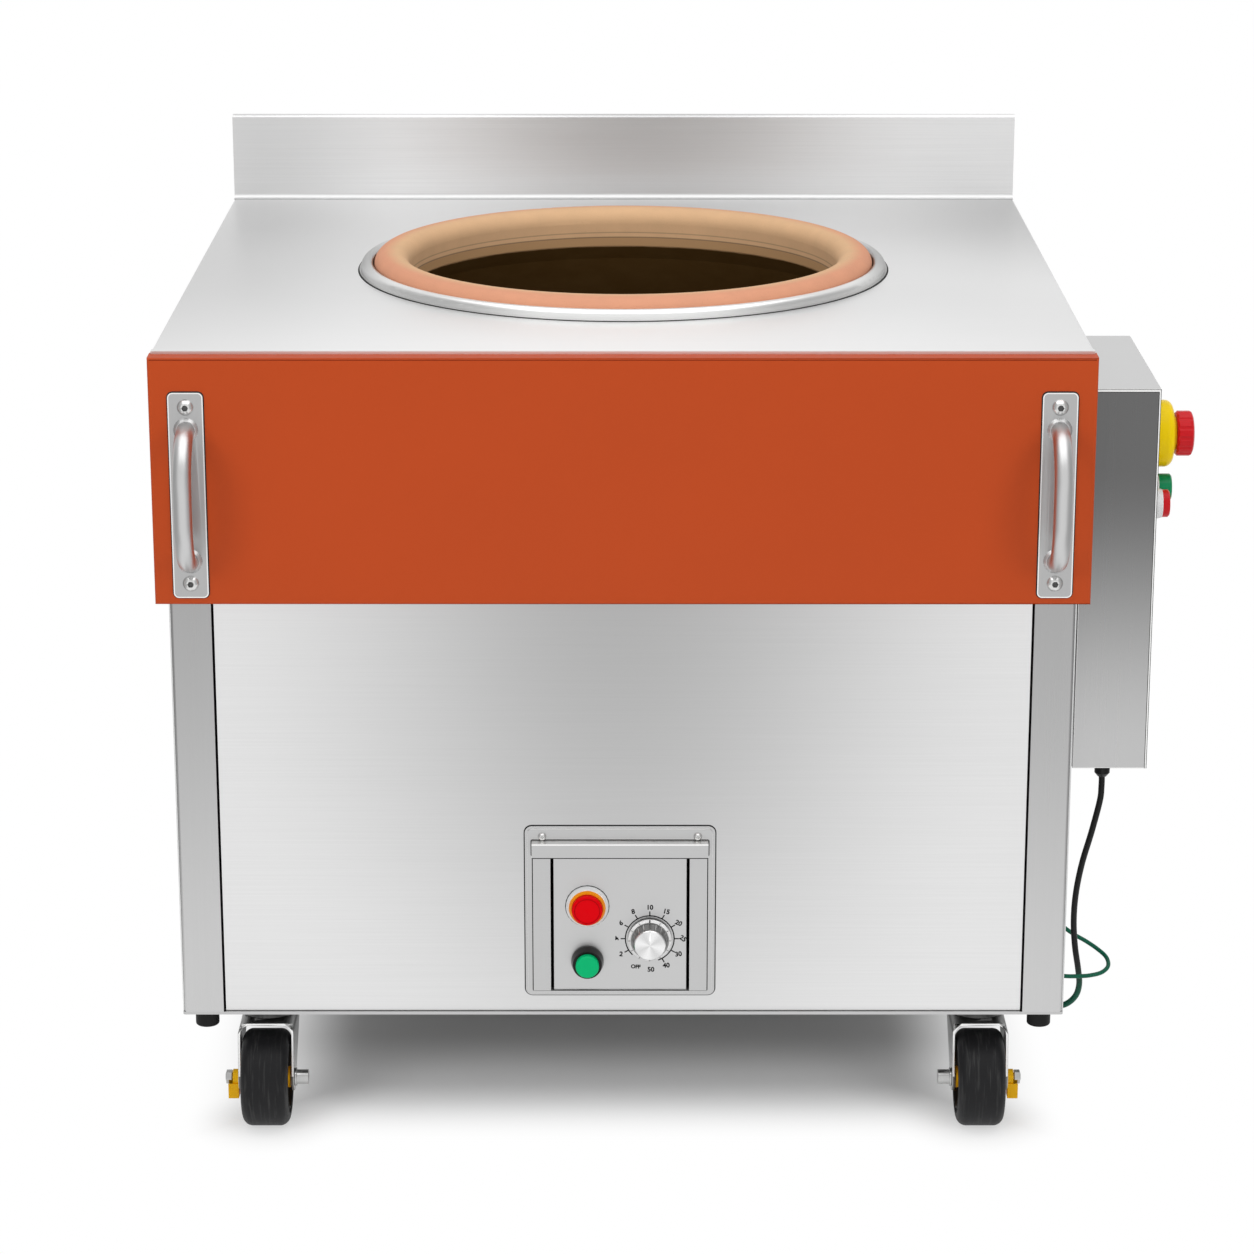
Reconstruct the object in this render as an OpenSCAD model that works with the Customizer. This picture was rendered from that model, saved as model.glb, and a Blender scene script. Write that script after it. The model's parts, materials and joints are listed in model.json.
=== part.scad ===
// Electric clay tandoor oven: a square stainless cabinet on four casters, with a round clay
// mouth in its worktop, an orange front fascia with two bow handles, a small control panel
// low on the front, and a control box with an emergency stop on its right side.
// +X is to the right, +Y is to the back, +Z is up. The origin is on the floor, under the
// middle of the oven. Sizes are in millimetres. Inside the modules the front face of the
// fascia is y = 0, and home moves the whole oven onto its origin.

/* [Cabinet] */
// Width over the side panels
cabinet_w = 894; // [880:1:1000]
// Depth from the faces of the front posts to the back panel
cabinet_d = 825; // [815:1:920]
// Height of the worktop's surface above the floor
worktop_z = 824; // [815:1:880]
// Thickness of the cabinet's sheet steel
sheet = 1.5; // [1:0.1:2]
// Width of each face of a corner post
post_w = 40; // [34:1:44]
// Width of the returned lip on a corner post
post_lip = 12; // [8:1:14]
// Radius of a bent edge
bend_r = 3; // [2.5:0.5:4]
// Thickness of the base pan
pan_t = 3; // [2:0.5:4]
// Height of the channels of the base frame
channel_h = 40; // [36:1:44]
// Width of the channels of the base frame
channel_w = 30; // [25:1:40]
// Gap between the front panel and each post
panel_gap = 2; // [1:0.5:3]
// How far the front panel lies behind the faces of the posts
panel_inset = 3; // [2:0.5:4]
// Depth of the returned edges of the front panel
panel_return = 14; // [8:1:18]

/* [Worktop] */
// How far the worktop stands past the cabinet on each side
worktop_over = 8; // [6:1:12]
// How far the worktop stands past the back panel
worktop_back = 10; // [6:1:20]
// Height of the worktop's skirt
skirt_h = 34; // [20:1:45]
// Thickness of the hemmed front edge
hem_t = 3; // [2.5:0.5:4]
// Strip of the fascia's top that shows in front of the worktop
fascia_ledge = 18; // [10:1:20]
// Height of the backsplash above the worktop
splash_h = 97; // [60:1:150]
// Thickness of the backsplash
splash_t = 14; // [10:1:20]
// Radius of the cove between the worktop and the backsplash
cove_r = 6; // [3:1:10]

/* [Fascia] */
// Height of the orange fascia
fascia_h = 246; // [236:1:260]
// Depth of the fascia
fascia_t = 25; // [22:1:30]
// How far the fascia stands past the cabinet on each side
fascia_over = 10; // [8:1:14]

/* [Mouth and pot] */
// Inner diameter of the mouth
mouth_d = 455; // [440:1:465]
// Width of the clay rim
rim_w = 37.5; // [34:0.5:40]
// How far the clay rim rises above the worktop
rim_rise = 20; // [17:1:24]
// Depth of the joint below the top of the rim
rim_joint = 32; // [28:1:34]
// Width of the steel ring's bead
bead_w = 14; // [12:1:18]
// Height of the steel ring's bead
bead_h = 11; // [8:1:12]
// How far the wall of the pot swells between its neck and its foot
belly_swell = 62; // [45:1:66]
// Inner diameter of the pot's foot
foot_d = 480; // [460:1:490]
// Thickness of the hearth slab
hearth_t = 35; // [25:1:40]
// Diameter of the tube of the heating element
element_d = 10; // [8:0.5:12]
// Radius of the inner ring of the heating element
element_r = 115; // [105:1:125]
// Distance between the two rings of the heating element
element_pitch = 50; // [45:1:60]

/* [Handles] */
// Width of a handle's plate
handle_w = 34; // [30:1:40]
// Height of a handle's plate
handle_h = 205; // [200:1:220]
// Thickness of a handle's plate
handle_t = 2; // [1.5:0.5:4]
// Diameter of the handle's tube
tube_d = 18; // [16:1:20]
// How far the tube stands out from the fascia
handle_reach = 61; // [56:1:70]
// Distance between the middles of the two feet of the tube
foot_span = 131; // [126:1:138]
// Distance between the two screws of a handle
screw_span = 176; // [172:1:182]
// Distance from the end of the fascia to the middle of a handle
handle_inset = 36; // [30:1:60]
// Height of the middle of a handle above the fascia's lower edge
handle_up = 110; // [108:1:130]

/* [Control panel] */
// Width of the pressed frame
frame_w = 191; // [186:1:200]
// Height of the pressed frame
frame_h = 181; // [176:1:186]
// How far the frame stands above the base pan
frame_up = 18; // [12:1:24]
// How far the middle of the frame lies left of the middle of the oven
frame_left = 3; // [0:1:12]
// Width of each guide bar
bar_w = 17.5; // [14:0.5:18]
// Height of the rail above the guide bars
rail_h = 15.5; // [12:0.5:18]
// How far the rail stands out from the frame
rail_out = 11; // [6:1:16]
// Gap between the control plate and each guide bar
bar_gap = 3; // [2:0.5:4]
// Depth of the tray behind the control plate
tray_d = 62; // [58:1:64]
// Distance of the lamp and the push button left of the plate's middle
button_left = 33; // [31:1:36]
// Height of the lamp above the foot of the frame
lamp_up = 96; // [90:1:104]
// Height of the push button above the foot of the frame
push_up = 37; // [32:1:42]
// Distance of the timer knob right of the plate's middle
knob_right = 30; // [26:1:32]
// Height of the timer knob above the foot of the frame
knob_up = 61; // [54:1:72]
// Diameter of the lamp's bezel
lamp_d = 43; // [38:1:46]
// Diameter of the push button's bezel
push_d = 33; // [30:1:36]
// Diameter of the knob's skirt
skirt_d = 44; // [40:1:46]
// Height of the timer knob
knob_h = 20; // [16:1:24]

/* [Control box] */
// Gap between the side panel and the control box
box_gap = 12; // [8:1:24]
// Width of the control box
box_w = 76; // [74:1:90]
// Depth of the control box
box_d = 251; // [240:1:280]
// Height of the control box
box_h = 397; // [380:1:420]
// Distance from the faces of the posts back to the control box
box_back = 94; // [80:1:110]
// Distance from the worktop's surface down to the top of the control box
box_drop = 61; // [50:1:80]
// Clearance round the door of the control box
door_gap = 1.5; // [1:0.5:2]
// Depth of the door's returned edges
door_return = 12; // [8:1:14]
// Radius of a hinge knuckle
knuckle_r = 4; // [3.5:0.1:4.5]
// Diameter of a hinge pin
pin_d = 4; // [3:0.5:5]
// Diameter of the emergency stop's base
estop_d = 68; // [60:1:72]
// Height of the emergency stop's base
estop_base_h = 22; // [16:1:24]
// Diameter of the mushroom head
mushroom_d = 46; // [40:1:52]
// How far the mushroom head stands out from the door
estop_reach = 43; // [42:1:48]
// Diameter of the run and stop caps
cap_d = 28; // [22:1:29]

/* [Casters] */
// Height of a caster
caster_h = 134; // [134:1:150]
// Diameter of a wheel
wheel_d = 100; // [90:1:102]
// Width of a wheel
wheel_w = 50; // [42:1:54]
// Distance from the cabinet's side to a caster's swivel axis
caster_in_x = 80; // [72:1:110]
// Distance from the cabinet's front or back to a caster's swivel axis
caster_in_y = 75; // [75:1:100]
// Distance from the swivel axis forward to the wheel's axle
trail = 38; // [30:1:40]
// Thickness of the fork's strap
fork_t = 2.7; // [2:0.1:3.5]
// Diameter of the axle bolt
axle_d = 8; // [6:1:10]
// Diameter of the kingpin
kingpin_d = 12; // [10:1:14]
// Diameter of a rubber foot
foot_pad_d = 24; // [20:1:28]
// Height of a rubber foot
foot_pad_h = 16; // [8:1:18]

/* [Leads] */
// Diameter of the black power lead
power_lead_d = 6.5; // [5:0.5:8]
// Diameter of the green earth lead
earth_lead_d = 4.5; // [3.5:0.5:6]

/* [Hidden] */
$fn = 64;

// Clearances
seat = 0.3;
fit = 0.05;
slip = 0.3;

// Main planes of the cabinet
front_y = fascia_t;
back_y = front_y + cabinet_d;
side_x = cabinet_w / 2;
post_x = side_x - sheet;
pan_z = caster_h;
deck_z = pan_z + pan_t;
under_z = worktop_z - sheet;
rear_y = back_y + worktop_back;

// Fascia and handles
fascia_w = cabinet_w + 2 * fascia_over;
fascia_top = worktop_z - hem_t;
fascia_foot = fascia_top - fascia_h;
handle_x = fascia_w / 2 - handle_inset;
handle_z = fascia_foot + handle_up;
screw_d = 8;
screw_head_d = 16;
screw_head_h = 5;
tube_leg = 1;
tube_bend = handle_reach - tube_d / 2 - handle_t - tube_leg;

// Worktop and backsplash
worktop_w = cabinet_w + 2 * worktop_over;
worktop_y = fascia_ledge;
splash_y = rear_y - splash_t;

// Mouth, pot and hearth
mouth_y = front_y + cabinet_d / 2 - 3;
mouth_r = mouth_d / 2;
rim_r = mouth_r + rim_w;
rim_top = worktop_z + rim_rise;
pot_top = rim_top - rim_joint;
neck_gap = 1.5;
neck_r = rim_r + neck_gap;
ring_r = neck_r + bead_w - neck_gap;
ring_flange = 1.8;
ring_drop = 16;
hole_r = neck_r + sheet + 0.5;
frame_top = deck_z + channel_h;
hearth_top = frame_top + hearth_t;
pot_steps = 24;
neck_lip = 9;
foot_r = foot_d / 2;
hearth_r = foot_r + rim_w + 15;
element_z = hearth_top + element_d / 2 + seat;
element_gap = 40;
element_bend = 20;
insulation_gap = 2;
insulation_wall = sheet + 3;

// Front panel and control panel
panel_y = front_y + panel_inset;
panel_w = 2 * (post_x - post_w - panel_gap);
panel_top = fascia_top - 20;
frame_x = -frame_left;
frame_z = deck_z + frame_up;
frame_t = 3;
frame_r = 7;
window_h = frame_h - 36;
window_z = frame_z + 6;
window_w = frame_w - 16;
rail_z = window_z + window_h;
bar_t = 5;
plate_y = panel_y - 2;
plate_w = window_w - 2 * bar_w - 2 * bar_gap;
tray_w = window_w - 2 * bar_w + 4;
lamp_x = frame_x - button_left;
lamp_z = frame_z + lamp_up;
push_z = frame_z + push_up;
knob_x = frame_x + knob_right;
knob_z = frame_z + knob_up;
lamp_neck_d = 30;
lamp_bezel_h = 6;
lamp_collar_d = 37;
lamp_cap_d = 31;
lamp_cap_h = 9;
lamp_stem_d = 16;
push_neck_d = 22;
push_bezel_h = 12;
push_cap_d = 23.5;
push_cap_h = 15;
push_stem_d = 12;
cap_travel = 3;
spindle_d = 6;
bush_d = 10;
bush_h = 3;
timer_w = 46;
frame_screw_x = 78;
frame_screw_drop = 10;
frame_screw_d = 8.6;

// Control box
box_x0 = side_x + box_gap;
box_x1 = box_x0 + box_w;
box_y0 = front_y + box_back;
box_y1 = box_y0 + box_d;
box_z1 = worktop_z - box_drop;
box_z0 = box_z1 - box_h;
door_y0 = box_y0 + sheet + door_gap;
door_y1 = box_y1 - sheet - door_gap;
door_z0 = box_z0 + sheet + door_gap;
door_z1 = box_z1 - sheet - door_gap;
hinge_x = box_x1 + knuckle_r + slip;
hinge_y = (door_y1 + box_y1 - sheet) / 2;
knuckle_h = 18;
hinge_z = [box_z0 + 60, box_z1 - 60];
estop_y = box_y0 + 71;
estop_z = box_z1 - 62;
run_y = box_y0 + 65;
run_z = box_z1 - 117;
stop_y = box_y0 + 31;
stop_z = box_z1 - 125;
estop_press = 3;
estop_stem_d = 34;
estop_spigot_d = 10;
estop_spigot_h = 9;
estop_floor = 4;
estop_rod_d = 12;
bezel_d = cap_d + 3.5;
bezel_h = 9;
door_hole_d = 22;
cap_stem_d = 10;
block_d = 40;
stop_lip = 8;
bracket_up = 50;
bracket_drop = 90;
bracket_in = 25;
bracket_foot = 15;
bracket_h = 30;
bracket_t = 2;
rail_in = 30;
din_w = 35;
din_t = 7.5;
din_up = 110;
breaker_w = 45;
breaker_h = 74;
breaker_out = 40.5;
contactor_w = 54;
contactor_h = 84;
contactor_out = 37.5;

// Casters
wheel_z = wheel_d / 2;
caster_x = side_x - caster_in_x;
caster_front = front_y + caster_in_y;
caster_rear = back_y - caster_in_y;
fork_in = wheel_w / 2 + 1;
fork_out = fork_in + fork_t;
fork_top = wheel_d + 10;
fork_r = 12;
caster_plate_t = 4;
race_h = 8;
race_d = 56;
hub_d = 62;
nut_d = 15;

// The oven's reach on each side, and the move that puts it on its origin
reach_right = box_x1 + estop_reach;
home = [(fascia_w / 2 - reach_right) / 2, (handle_reach - rear_y) / 2, 0];

// Glands and leads. The leads' points are in the same places as the modules' other sizes.
gland_d = 14;
gland_h = 20;
gland_in = 40;
power_gland = [box_x0 + gland_in, box_y0 + 71];
supply_gland = [box_x0 + gland_in, box_y0 + 181];
supply_bore_d = 11;
power_entry = [side_x - 39, front_y + 237];
earth_entry = [side_x - 20, front_y + 207];
earth_stud = [front_y + 237, pan_z + 76];
earth_stud_d = 6;
stud_nut_d = 13;
stud_nut_h = 3;
lug_w = 12;
lug_tongue_w = 6;
lug_t = 1.2;
lug_drop = 22;
lug_out = 6;
barrel_h = 13;
power_route = [[499, 190, 334], [499, 190, 322], [498, 191, 306], [491, 195, 270],
    [483, 201, 233], [478.5, 207, 198], [478, 214, 165], [481, 221, 133],
    [486.5, 229, 102], [489, 236, 82], [486, 242, 66], [476, 248, 54], [461, 254, 50],
    [444, 258, 54], [429, 261, 65], [416, 262, 82], [409.5, 262, 98], [408, 262, 108],
    [408, 262, 116]];
earth_route = [[453, 262, 188], [453, 262, 182], [453, 262, 176], [455, 261, 165],
    [461, 258.5, 153], [470, 255, 143], [482, 251, 134.5], [496, 248, 127], [508, 243, 120],
    [516.5, 233, 114.5], [517, 219, 110], [509, 208, 107], [496, 203, 105.5], [484, 202, 105],
    [471, 202, 105], [458, 205, 105.5], [446, 211, 107], [436, 219, 110.5], [429.5, 227, 117],
    [427, 231.5, 125], [427, 232, 131]];

// ---- Shapes that are used more than once ----

// A block between two opposite corners
module block(a, b) {
    translate(a) cube(b - a);
}

// Stands flat shapes up: their x stays, their y becomes z, and they are extruded forward
module facing(y) {
    translate([0, y, 0]) rotate([90, 0, 0]) children();
}

// Stands flat shapes up on the right side: their x becomes y, their y becomes z
module outward(x) {
    translate([x, 0, 0]) rotate([90, 0, 90]) children();
}

// A rectangle with four round corners, about its middle
module round_rect(w, h, r) {
    square([w - 2 * r, h], center = true);
    square([w, h - 2 * r], center = true);
    for (sx = [-1, 1], sy = [-1, 1])
        translate([sx * (w / 2 - r), sy * (h / 2 - r)]) circle(r = r);
}

// A rectangle that starts at y = 0, where its two corners are round
module nosed(w, d, r) {
    translate([-w / 2, r]) square([w, d - r]);
    translate([r - w / 2, 0]) square([w - 2 * r, 2 * r]);
    for (side = [-1, 1])
        translate([side * (w / 2 - r), r]) circle(r = r);
}

// A square whose corner at the origin is round
module one_round_corner(w, r) {
    translate([r, 0]) square([w - r, w]);
    translate([0, r]) square([w, w - r]);
    translate([r, r]) circle(r = r);
}

// A dome-headed socket screw that points backwards, its head resting on y = 0
module dome_screw(head_d, head_h, shank_d, shank_l) {
    dome_r = (head_d * head_d / 4 + head_h * head_h) / (2 * head_h);
    difference() {
        union() {
            rotate([90, 0, 0]) intersection() {
                translate([0, 0, head_h - dome_r]) sphere(r = dome_r);
                cylinder(h = head_h, d = head_d);
            }
            rotate([-90, 0, 0]) cylinder(h = shank_l, d = shank_d);
        }
        rotate([90, 0, 0]) translate([0, 0, head_h * 0.4]) cylinder(h = head_h, d = head_d * 0.4, $fn = 6);
    }
}

// Unit vector along v
function unit(v) = v / norm(v);

// Smooth curve through the points p: the point at fraction t of the span that starts at p[i]
function spline(p, i, t) =
    let (a = p[max(i - 1, 0)], b = p[i], c = p[i + 1], d = p[min(i + 2, len(p) - 1)])
    0.5 * ((2 * b) + (c - a) * t + (2 * a - 5 * b + 4 * c - d) * t * t
        + (3 * b - a - 3 * c + d) * t * t * t);

// The route p with every span cut into n steps
function route(p, n) =
    [for (i = [0 : len(p) - 2], k = [0 : n - 1]) spline(p, i, k / n), p[len(p) - 1]];

// Direction of the route q at its point i
function heading(q, i) = unit(q[min(i + 1, len(q) - 1)] - q[max(i - 1, 0)]);

// A tube of diameter d along the points p, with n steps a span and s sides
module lead(p, d, n, s) {
    q = route(p, n);
    rings = [for (i = [0 : len(q) - 1])
        let (t = heading(q, i), u = unit(cross(t, [0, 1, 0.02])), v = cross(t, u))
        for (k = [0 : s - 1]) q[i] + d / 2 * (u * cos(360 * k / s) + v * sin(360 * k / s))];
    walls = [for (i = [0 : len(q) - 2], k = [0 : s - 1])
        [i * s + k, i * s + (k + 1) % s, (i + 1) * s + (k + 1) % s, (i + 1) * s + k]];
    first = [for (k = [s - 1 : -1 : 0]) k];
    last = [for (k = [0 : s - 1]) (len(q) - 1) * s + k];
    polyhedron(rings, concat([first], walls, [last]));
}

// ---- Cabinet ----

// Flat base pan with the holes of the two lead entries
module base_pan() {
    color("silver") translate(home)
        difference() {
            translate([0, (front_y + back_y) / 2, pan_z])
                linear_extrude(pan_t) round_rect(cabinet_w, cabinet_d, bend_r);
            translate([power_entry[0], power_entry[1], pan_z - 1])
                cylinder(h = pan_t + 2, d = gland_d + 2 * fit);
            translate([earth_entry[0], earth_entry[1], pan_z - 1])
                cylinder(h = pan_t + 2, d = gland_d + 2 * fit);
        }
}

// Outline of the base frame's bars, drawn inwards by the wall t
module frame_bars(t) {
    bar = channel_w - 2 * t;
    out_x = post_x - post_w - channel_w / 2 - 8;
    out_y0 = panel_y + tray_d + channel_w / 2 + 5;
    out_y1 = back_y - sheet - post_w - channel_w / 2 - 8;
    for (x = [-out_x, -out_x / 2, out_x / 2, out_x])
        translate([x - bar / 2, out_y0 - bar / 2]) square([bar, out_y1 - out_y0 + bar]);
    for (y = [out_y0, out_y1])
        translate([-out_x - bar / 2, y - bar / 2]) square([2 * out_x + bar, bar]);
}

// Welded frame of inverted channels that carries the hearth
module base_frame() {
    color("gray") translate(home) translate([0, 0, deck_z])
        difference() {
            linear_extrude(channel_h) frame_bars(0);
            translate([0, 0, -1]) linear_extrude(channel_h + 1 - 2 * sheet) frame_bars(2 * sheet);
        }
}

// Section of a corner post: an angle with a round corner and two returned lips
module post_section() {
    difference() {
        one_round_corner(post_w, bend_r);
        translate([sheet, sheet]) one_round_corner(post_w, bend_r - sheet);
    }
    translate([post_w - sheet, 0]) square([sheet, post_lip]);
    translate([0, post_w - sheet]) square([post_lip, sheet]);
}

// Four corner posts
module corner_posts() {
    color("silver") translate(home)
        for (side = [-1, 1], end = [0, 1])
            translate([side * post_x, end == 0 ? front_y : back_y - sheet, deck_z])
                mirror([side > 0 ? 1 : 0, 0, 0]) mirror([0, end, 0])
                    linear_extrude(under_z - deck_z) post_section();
}

// A side panel's sheet, with a folded edge at the top
module side_panel(side) {
    mirror([side > 0 ? 0 : 1, 0, 0]) {
        block([post_x, front_y + 2, deck_z], [side_x, back_y - sheet, under_z - 2]);
        block([post_x - 15, front_y + post_w + 2, under_z - 2 - sheet],
            [post_x + 0.5, back_y - post_w - 4, under_z - 2]);
    }
}

module left_panel() {
    color("gainsboro") translate(home) side_panel(-1);
}

// Right panel, with the hole of the earth stud
module right_panel() {
    color("gainsboro") translate(home)
        difference() {
            side_panel(1);
            translate([0, earth_stud[0], earth_stud[1]])
                outward(side_x - 10) cylinder(h = 20, d = earth_stud_d + 2 * fit);
        }
}

module back_panel() {
    color("gainsboro") translate(home)
        block([-post_x, back_y - sheet, deck_z], [post_x, back_y, under_z - 2]);
}

// Front panel: a shallow tray with returned edges and the window of the control tray
module front_panel() {
    color("whitesmoke") translate(home)
        difference() {
            translate([0, 0, deck_z + seat])
                difference() {
                    block([-panel_w / 2, panel_y, 0],
                        [panel_w / 2, panel_y + panel_return, panel_top - deck_z]);
                    block([sheet - panel_w / 2, panel_y + sheet, sheet],
                        [panel_w / 2 - sheet, panel_y + panel_return + 1,
                        panel_top - deck_z - sheet]);
                }
            block([frame_x - tray_w / 2 - 1, panel_y - 1, window_z - 1],
                [frame_x + tray_w / 2 + 1, panel_y + panel_return + 1, window_z + window_h + 1]);
            for (side = [-1, 1])
                translate([frame_x + side * frame_screw_x, 0, frame_z + frame_h - frame_screw_drop])
                    facing(panel_y + 5) cylinder(h = 10, d = 4 + 2 * fit);
        }
}

// The solid outline of the fascia, drawn inwards by the wall t and open behind where t is set
module fascia_block(t) {
    r = bend_r - t;
    depth = t == 0 ? fascia_t : fascia_t + 5;
    translate([0, t, 0]) intersection() {
        translate([0, 0, fascia_foot + t])
            linear_extrude(fascia_h - 2 * t) nosed(fascia_w - 2 * t, depth, r);
        translate([0, 0, fascia_foot + fascia_h / 2]) rotate([0, 90, 0])
            linear_extrude(fascia_w, center = true) nosed(fascia_h - 2 * t, depth, r);
    }
}

// Orange fascia: a folded box, open behind, with a lip that hangs against the posts
module fascia() {
    color("chocolate") translate(home) {
        difference() {
            fascia_block(0);
            fascia_block(sheet);
            for (side = [-1, 1], end = [-1, 1])
                translate([side * handle_x, 0, handle_z + end * screw_span / 2])
                    facing(10) cylinder(h = 20, d = screw_d + 2 * slip);
        }
        block([-post_x, front_y - sheet, fascia_top - 18], [post_x, front_y, fascia_top - sheet / 2]);
        block([-post_x, front_y - sheet, fascia_foot + sheet / 2], [post_x, front_y, fascia_foot + 18]);
    }
}

// Worktop: a sheet with folded skirts, a hemmed front edge and the hole of the mouth
module worktop() {
    color("silver") translate(home)
        difference() {
            union() {
                difference() {
                    translate([0, rear_y, worktop_z]) rotate([90, 0, 0]) mirror([0, 1, 0])
                        linear_extrude(rear_y - front_y - 1) nosed(worktop_w, skirt_h, bend_r);
                    translate([0, rear_y - sheet, under_z]) rotate([90, 0, 0]) mirror([0, 1, 0])
                        linear_extrude(rear_y - front_y)
                            nosed(worktop_w - 2 * sheet, skirt_h, bend_r - sheet);
                }
                block([-worktop_w / 2, worktop_y, under_z], [worktop_w / 2, front_y + 2, worktop_z]);
                block([-worktop_w / 2, worktop_y, fascia_top],
                    [worktop_w / 2, front_y - seat, worktop_z]);
            }
            translate([0, mouth_y, under_z - 1]) cylinder(h = sheet + 2, r = hole_r);
        }
}

// Backsplash: a folded upstand, open below, with a cove down to the worktop
module backsplash() {
    mid_y = (splash_y + rear_y) / 2;
    color("silver") translate(home) {
        translate([0, splash_y, worktop_z]) rotate([90, 0, 90])
            linear_extrude(worktop_w, center = true) difference() {
                translate([-cove_r, 0]) square([cove_r + sheet / 2, cove_r]);
                translate([-cove_r, cove_r]) circle(r = cove_r);
            }
        difference() {
            translate([0, mid_y, worktop_z]) rotate([90, 0, 90]) mirror([0, 1, 0])
                translate([0, -splash_h]) linear_extrude(worktop_w, center = true)
                    nosed(splash_t, splash_h, bend_r);
            block([sheet - worktop_w / 2, splash_y + sheet, worktop_z - 1],
                [worktop_w / 2 - sheet, rear_y - sheet, worktop_z + splash_h - sheet]);
        }
    }
}

// ---- Mouth, pot and heat ----

// Rolled steel ring: a round-topped bead with a thin flange on the worktop, and a neck down its hole
module mouth_ring() {
    color("silver") translate(home) translate([0, mouth_y, worktop_z])
        rotate_extrude() {
            intersection() {
                translate([ring_r - bead_w / 2, bead_h - bead_w / 2]) circle(d = bead_w);
                translate([neck_r, 0]) square([bead_w, bead_h]);
            }
            translate([neck_r, 0]) square([ring_r - neck_r, bead_h - bead_w / 2]);
            translate([neck_r, 0]) square([ring_r + ring_flange - neck_r, sheet]);
            translate([neck_r, -ring_drop]) square([sheet, ring_drop + 1]);
        }
}

// Clay rim with a round lip, which stands on the neck of the pot
module clay_rim() {
    outer_round = 14;
    inner_round = 16;
    color("darksalmon") translate(home) translate([0, mouth_y, 0])
        rotate_extrude() {
            translate([mouth_r + inner_round, pot_top])
                square([rim_w - inner_round - outer_round, rim_joint]);
            translate([mouth_r, pot_top]) square([rim_w, rim_joint - max(inner_round, outer_round)]);
            translate([mouth_r + inner_round, rim_top - inner_round]) circle(r = inner_round);
            translate([rim_r - outer_round, rim_top - outer_round]) circle(r = outer_round);
            translate([rim_r - 20, pot_top]) square([20, rim_joint - outer_round]);
        }
}

// Inner radius of the pot at the fraction t of its height, from the neck down to the foot
function pot_r(t) = mouth_r + (foot_r - mouth_r) * t + belly_swell * sin(180 * t);

// Height at the fraction t
function pot_z(t) = pot_top - (pot_top - hearth_top) * t;

// Section of the pot's wall, from its inner face plus a to its outer face plus b
module pot_section(a, b) {
    polygon(concat(
        [[mouth_r + a, pot_top], [mouth_r + a, pot_top - neck_lip]],
        [for (i = [1 : pot_steps]) [pot_r(i / pot_steps) + a, pot_z(i / pot_steps)]],
        [for (i = [pot_steps : -1 : 0]) [pot_r(i / pot_steps) + rim_w + b, pot_z(i / pot_steps)]]));
}

module clay_pot() {
    color("peru") translate(home) translate([0, mouth_y, 0])
        rotate_extrude() pot_section(0, 0);
}

// Mineral-wool block that fills the cabinet round the pot
module insulation() {
    wool_x = post_x - post_w - insulation_wall;
    color("khaki") translate(home)
        difference() {
            block([-wool_x, front_y + post_w + insulation_wall, frame_top],
                [wool_x, back_y - sheet - post_w - insulation_wall, under_z - 8]);
            translate([0, mouth_y, 0]) rotate_extrude() {
                pot_section(-50, insulation_gap);
                translate([0, frame_top - 1])
                    square([foot_r + rim_w - 1, under_z - frame_top]);
                translate([0, frame_top - 1]) square([hearth_r + insulation_gap, hearth_t + 1.5]);
                translate([0, pot_top - 1]) square([neck_r + sheet + insulation_gap, 30]);
            }
            block([frame_x - tray_w / 2 - 8, 0, frame_top - 1],
                [frame_x + tray_w / 2 + 8, panel_y + tray_d + 8, rail_z + 12]);
        }
}

// Places the two legs of the heating element at its open end
module at_element_legs() {
    for (r = [element_r, element_r + element_pitch])
        rotate(-90 - element_gap / 2) translate([r, 0, 0]) children();
}

// Round fireclay slab under the pot, with slots for the bent legs of the heating element
module hearth() {
    slot_w = element_d + 4;
    color("tan") translate(home) translate([0, mouth_y, 0])
        difference() {
            translate([0, 0, frame_top]) cylinder(h = hearth_t, r = hearth_r);
            at_element_legs() {
                translate([0, element_bend, frame_top - 1]) cylinder(h = hearth_t + 2, d = slot_w);
                block([-slot_w / 2, 0, hearth_top - element_bend],
                    [slot_w / 2, element_bend, hearth_top + 1]);
            }
        }
}

// Tubular element: two open rings joined by a hairpin, with two legs down to a flange
module heating_tube() {
    radius = element_pitch / 2;
    for (r = [element_r, element_r + element_pitch])
        rotate(element_gap / 2 - 90) rotate_extrude(angle = 360 - element_gap)
            translate([r, 0]) circle(d = element_d, $fn = 24);
    rotate(element_gap / 2 - 90) translate([element_r + radius, 0, 0]) rotate(180)
        rotate_extrude(angle = 180) translate([radius, 0]) circle(d = element_d, $fn = 24);
    at_element_legs() {
        translate([0, 0, -element_bend]) rotate([0, 90, 0]) rotate(90)
            rotate_extrude(angle = 90) translate([element_bend, 0]) circle(d = element_d, $fn = 24);
        translate([0, element_bend, deck_z + 1 - element_z])
            cylinder(h = element_z - element_bend - deck_z - 1, d = element_d, $fn = 24);
    }
}

module heater_element() {
    color("dimgray") translate(home) translate([0, mouth_y, 0]) {
        translate([0, 0, element_z]) heating_tube();
        rotate(-90 - element_gap / 2)
            block([element_r - 15, element_bend - 12, deck_z],
                [element_r + element_pitch + 15, element_bend + 12, deck_z + 3]);
    }
}

// ---- Handles and screws ----

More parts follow.
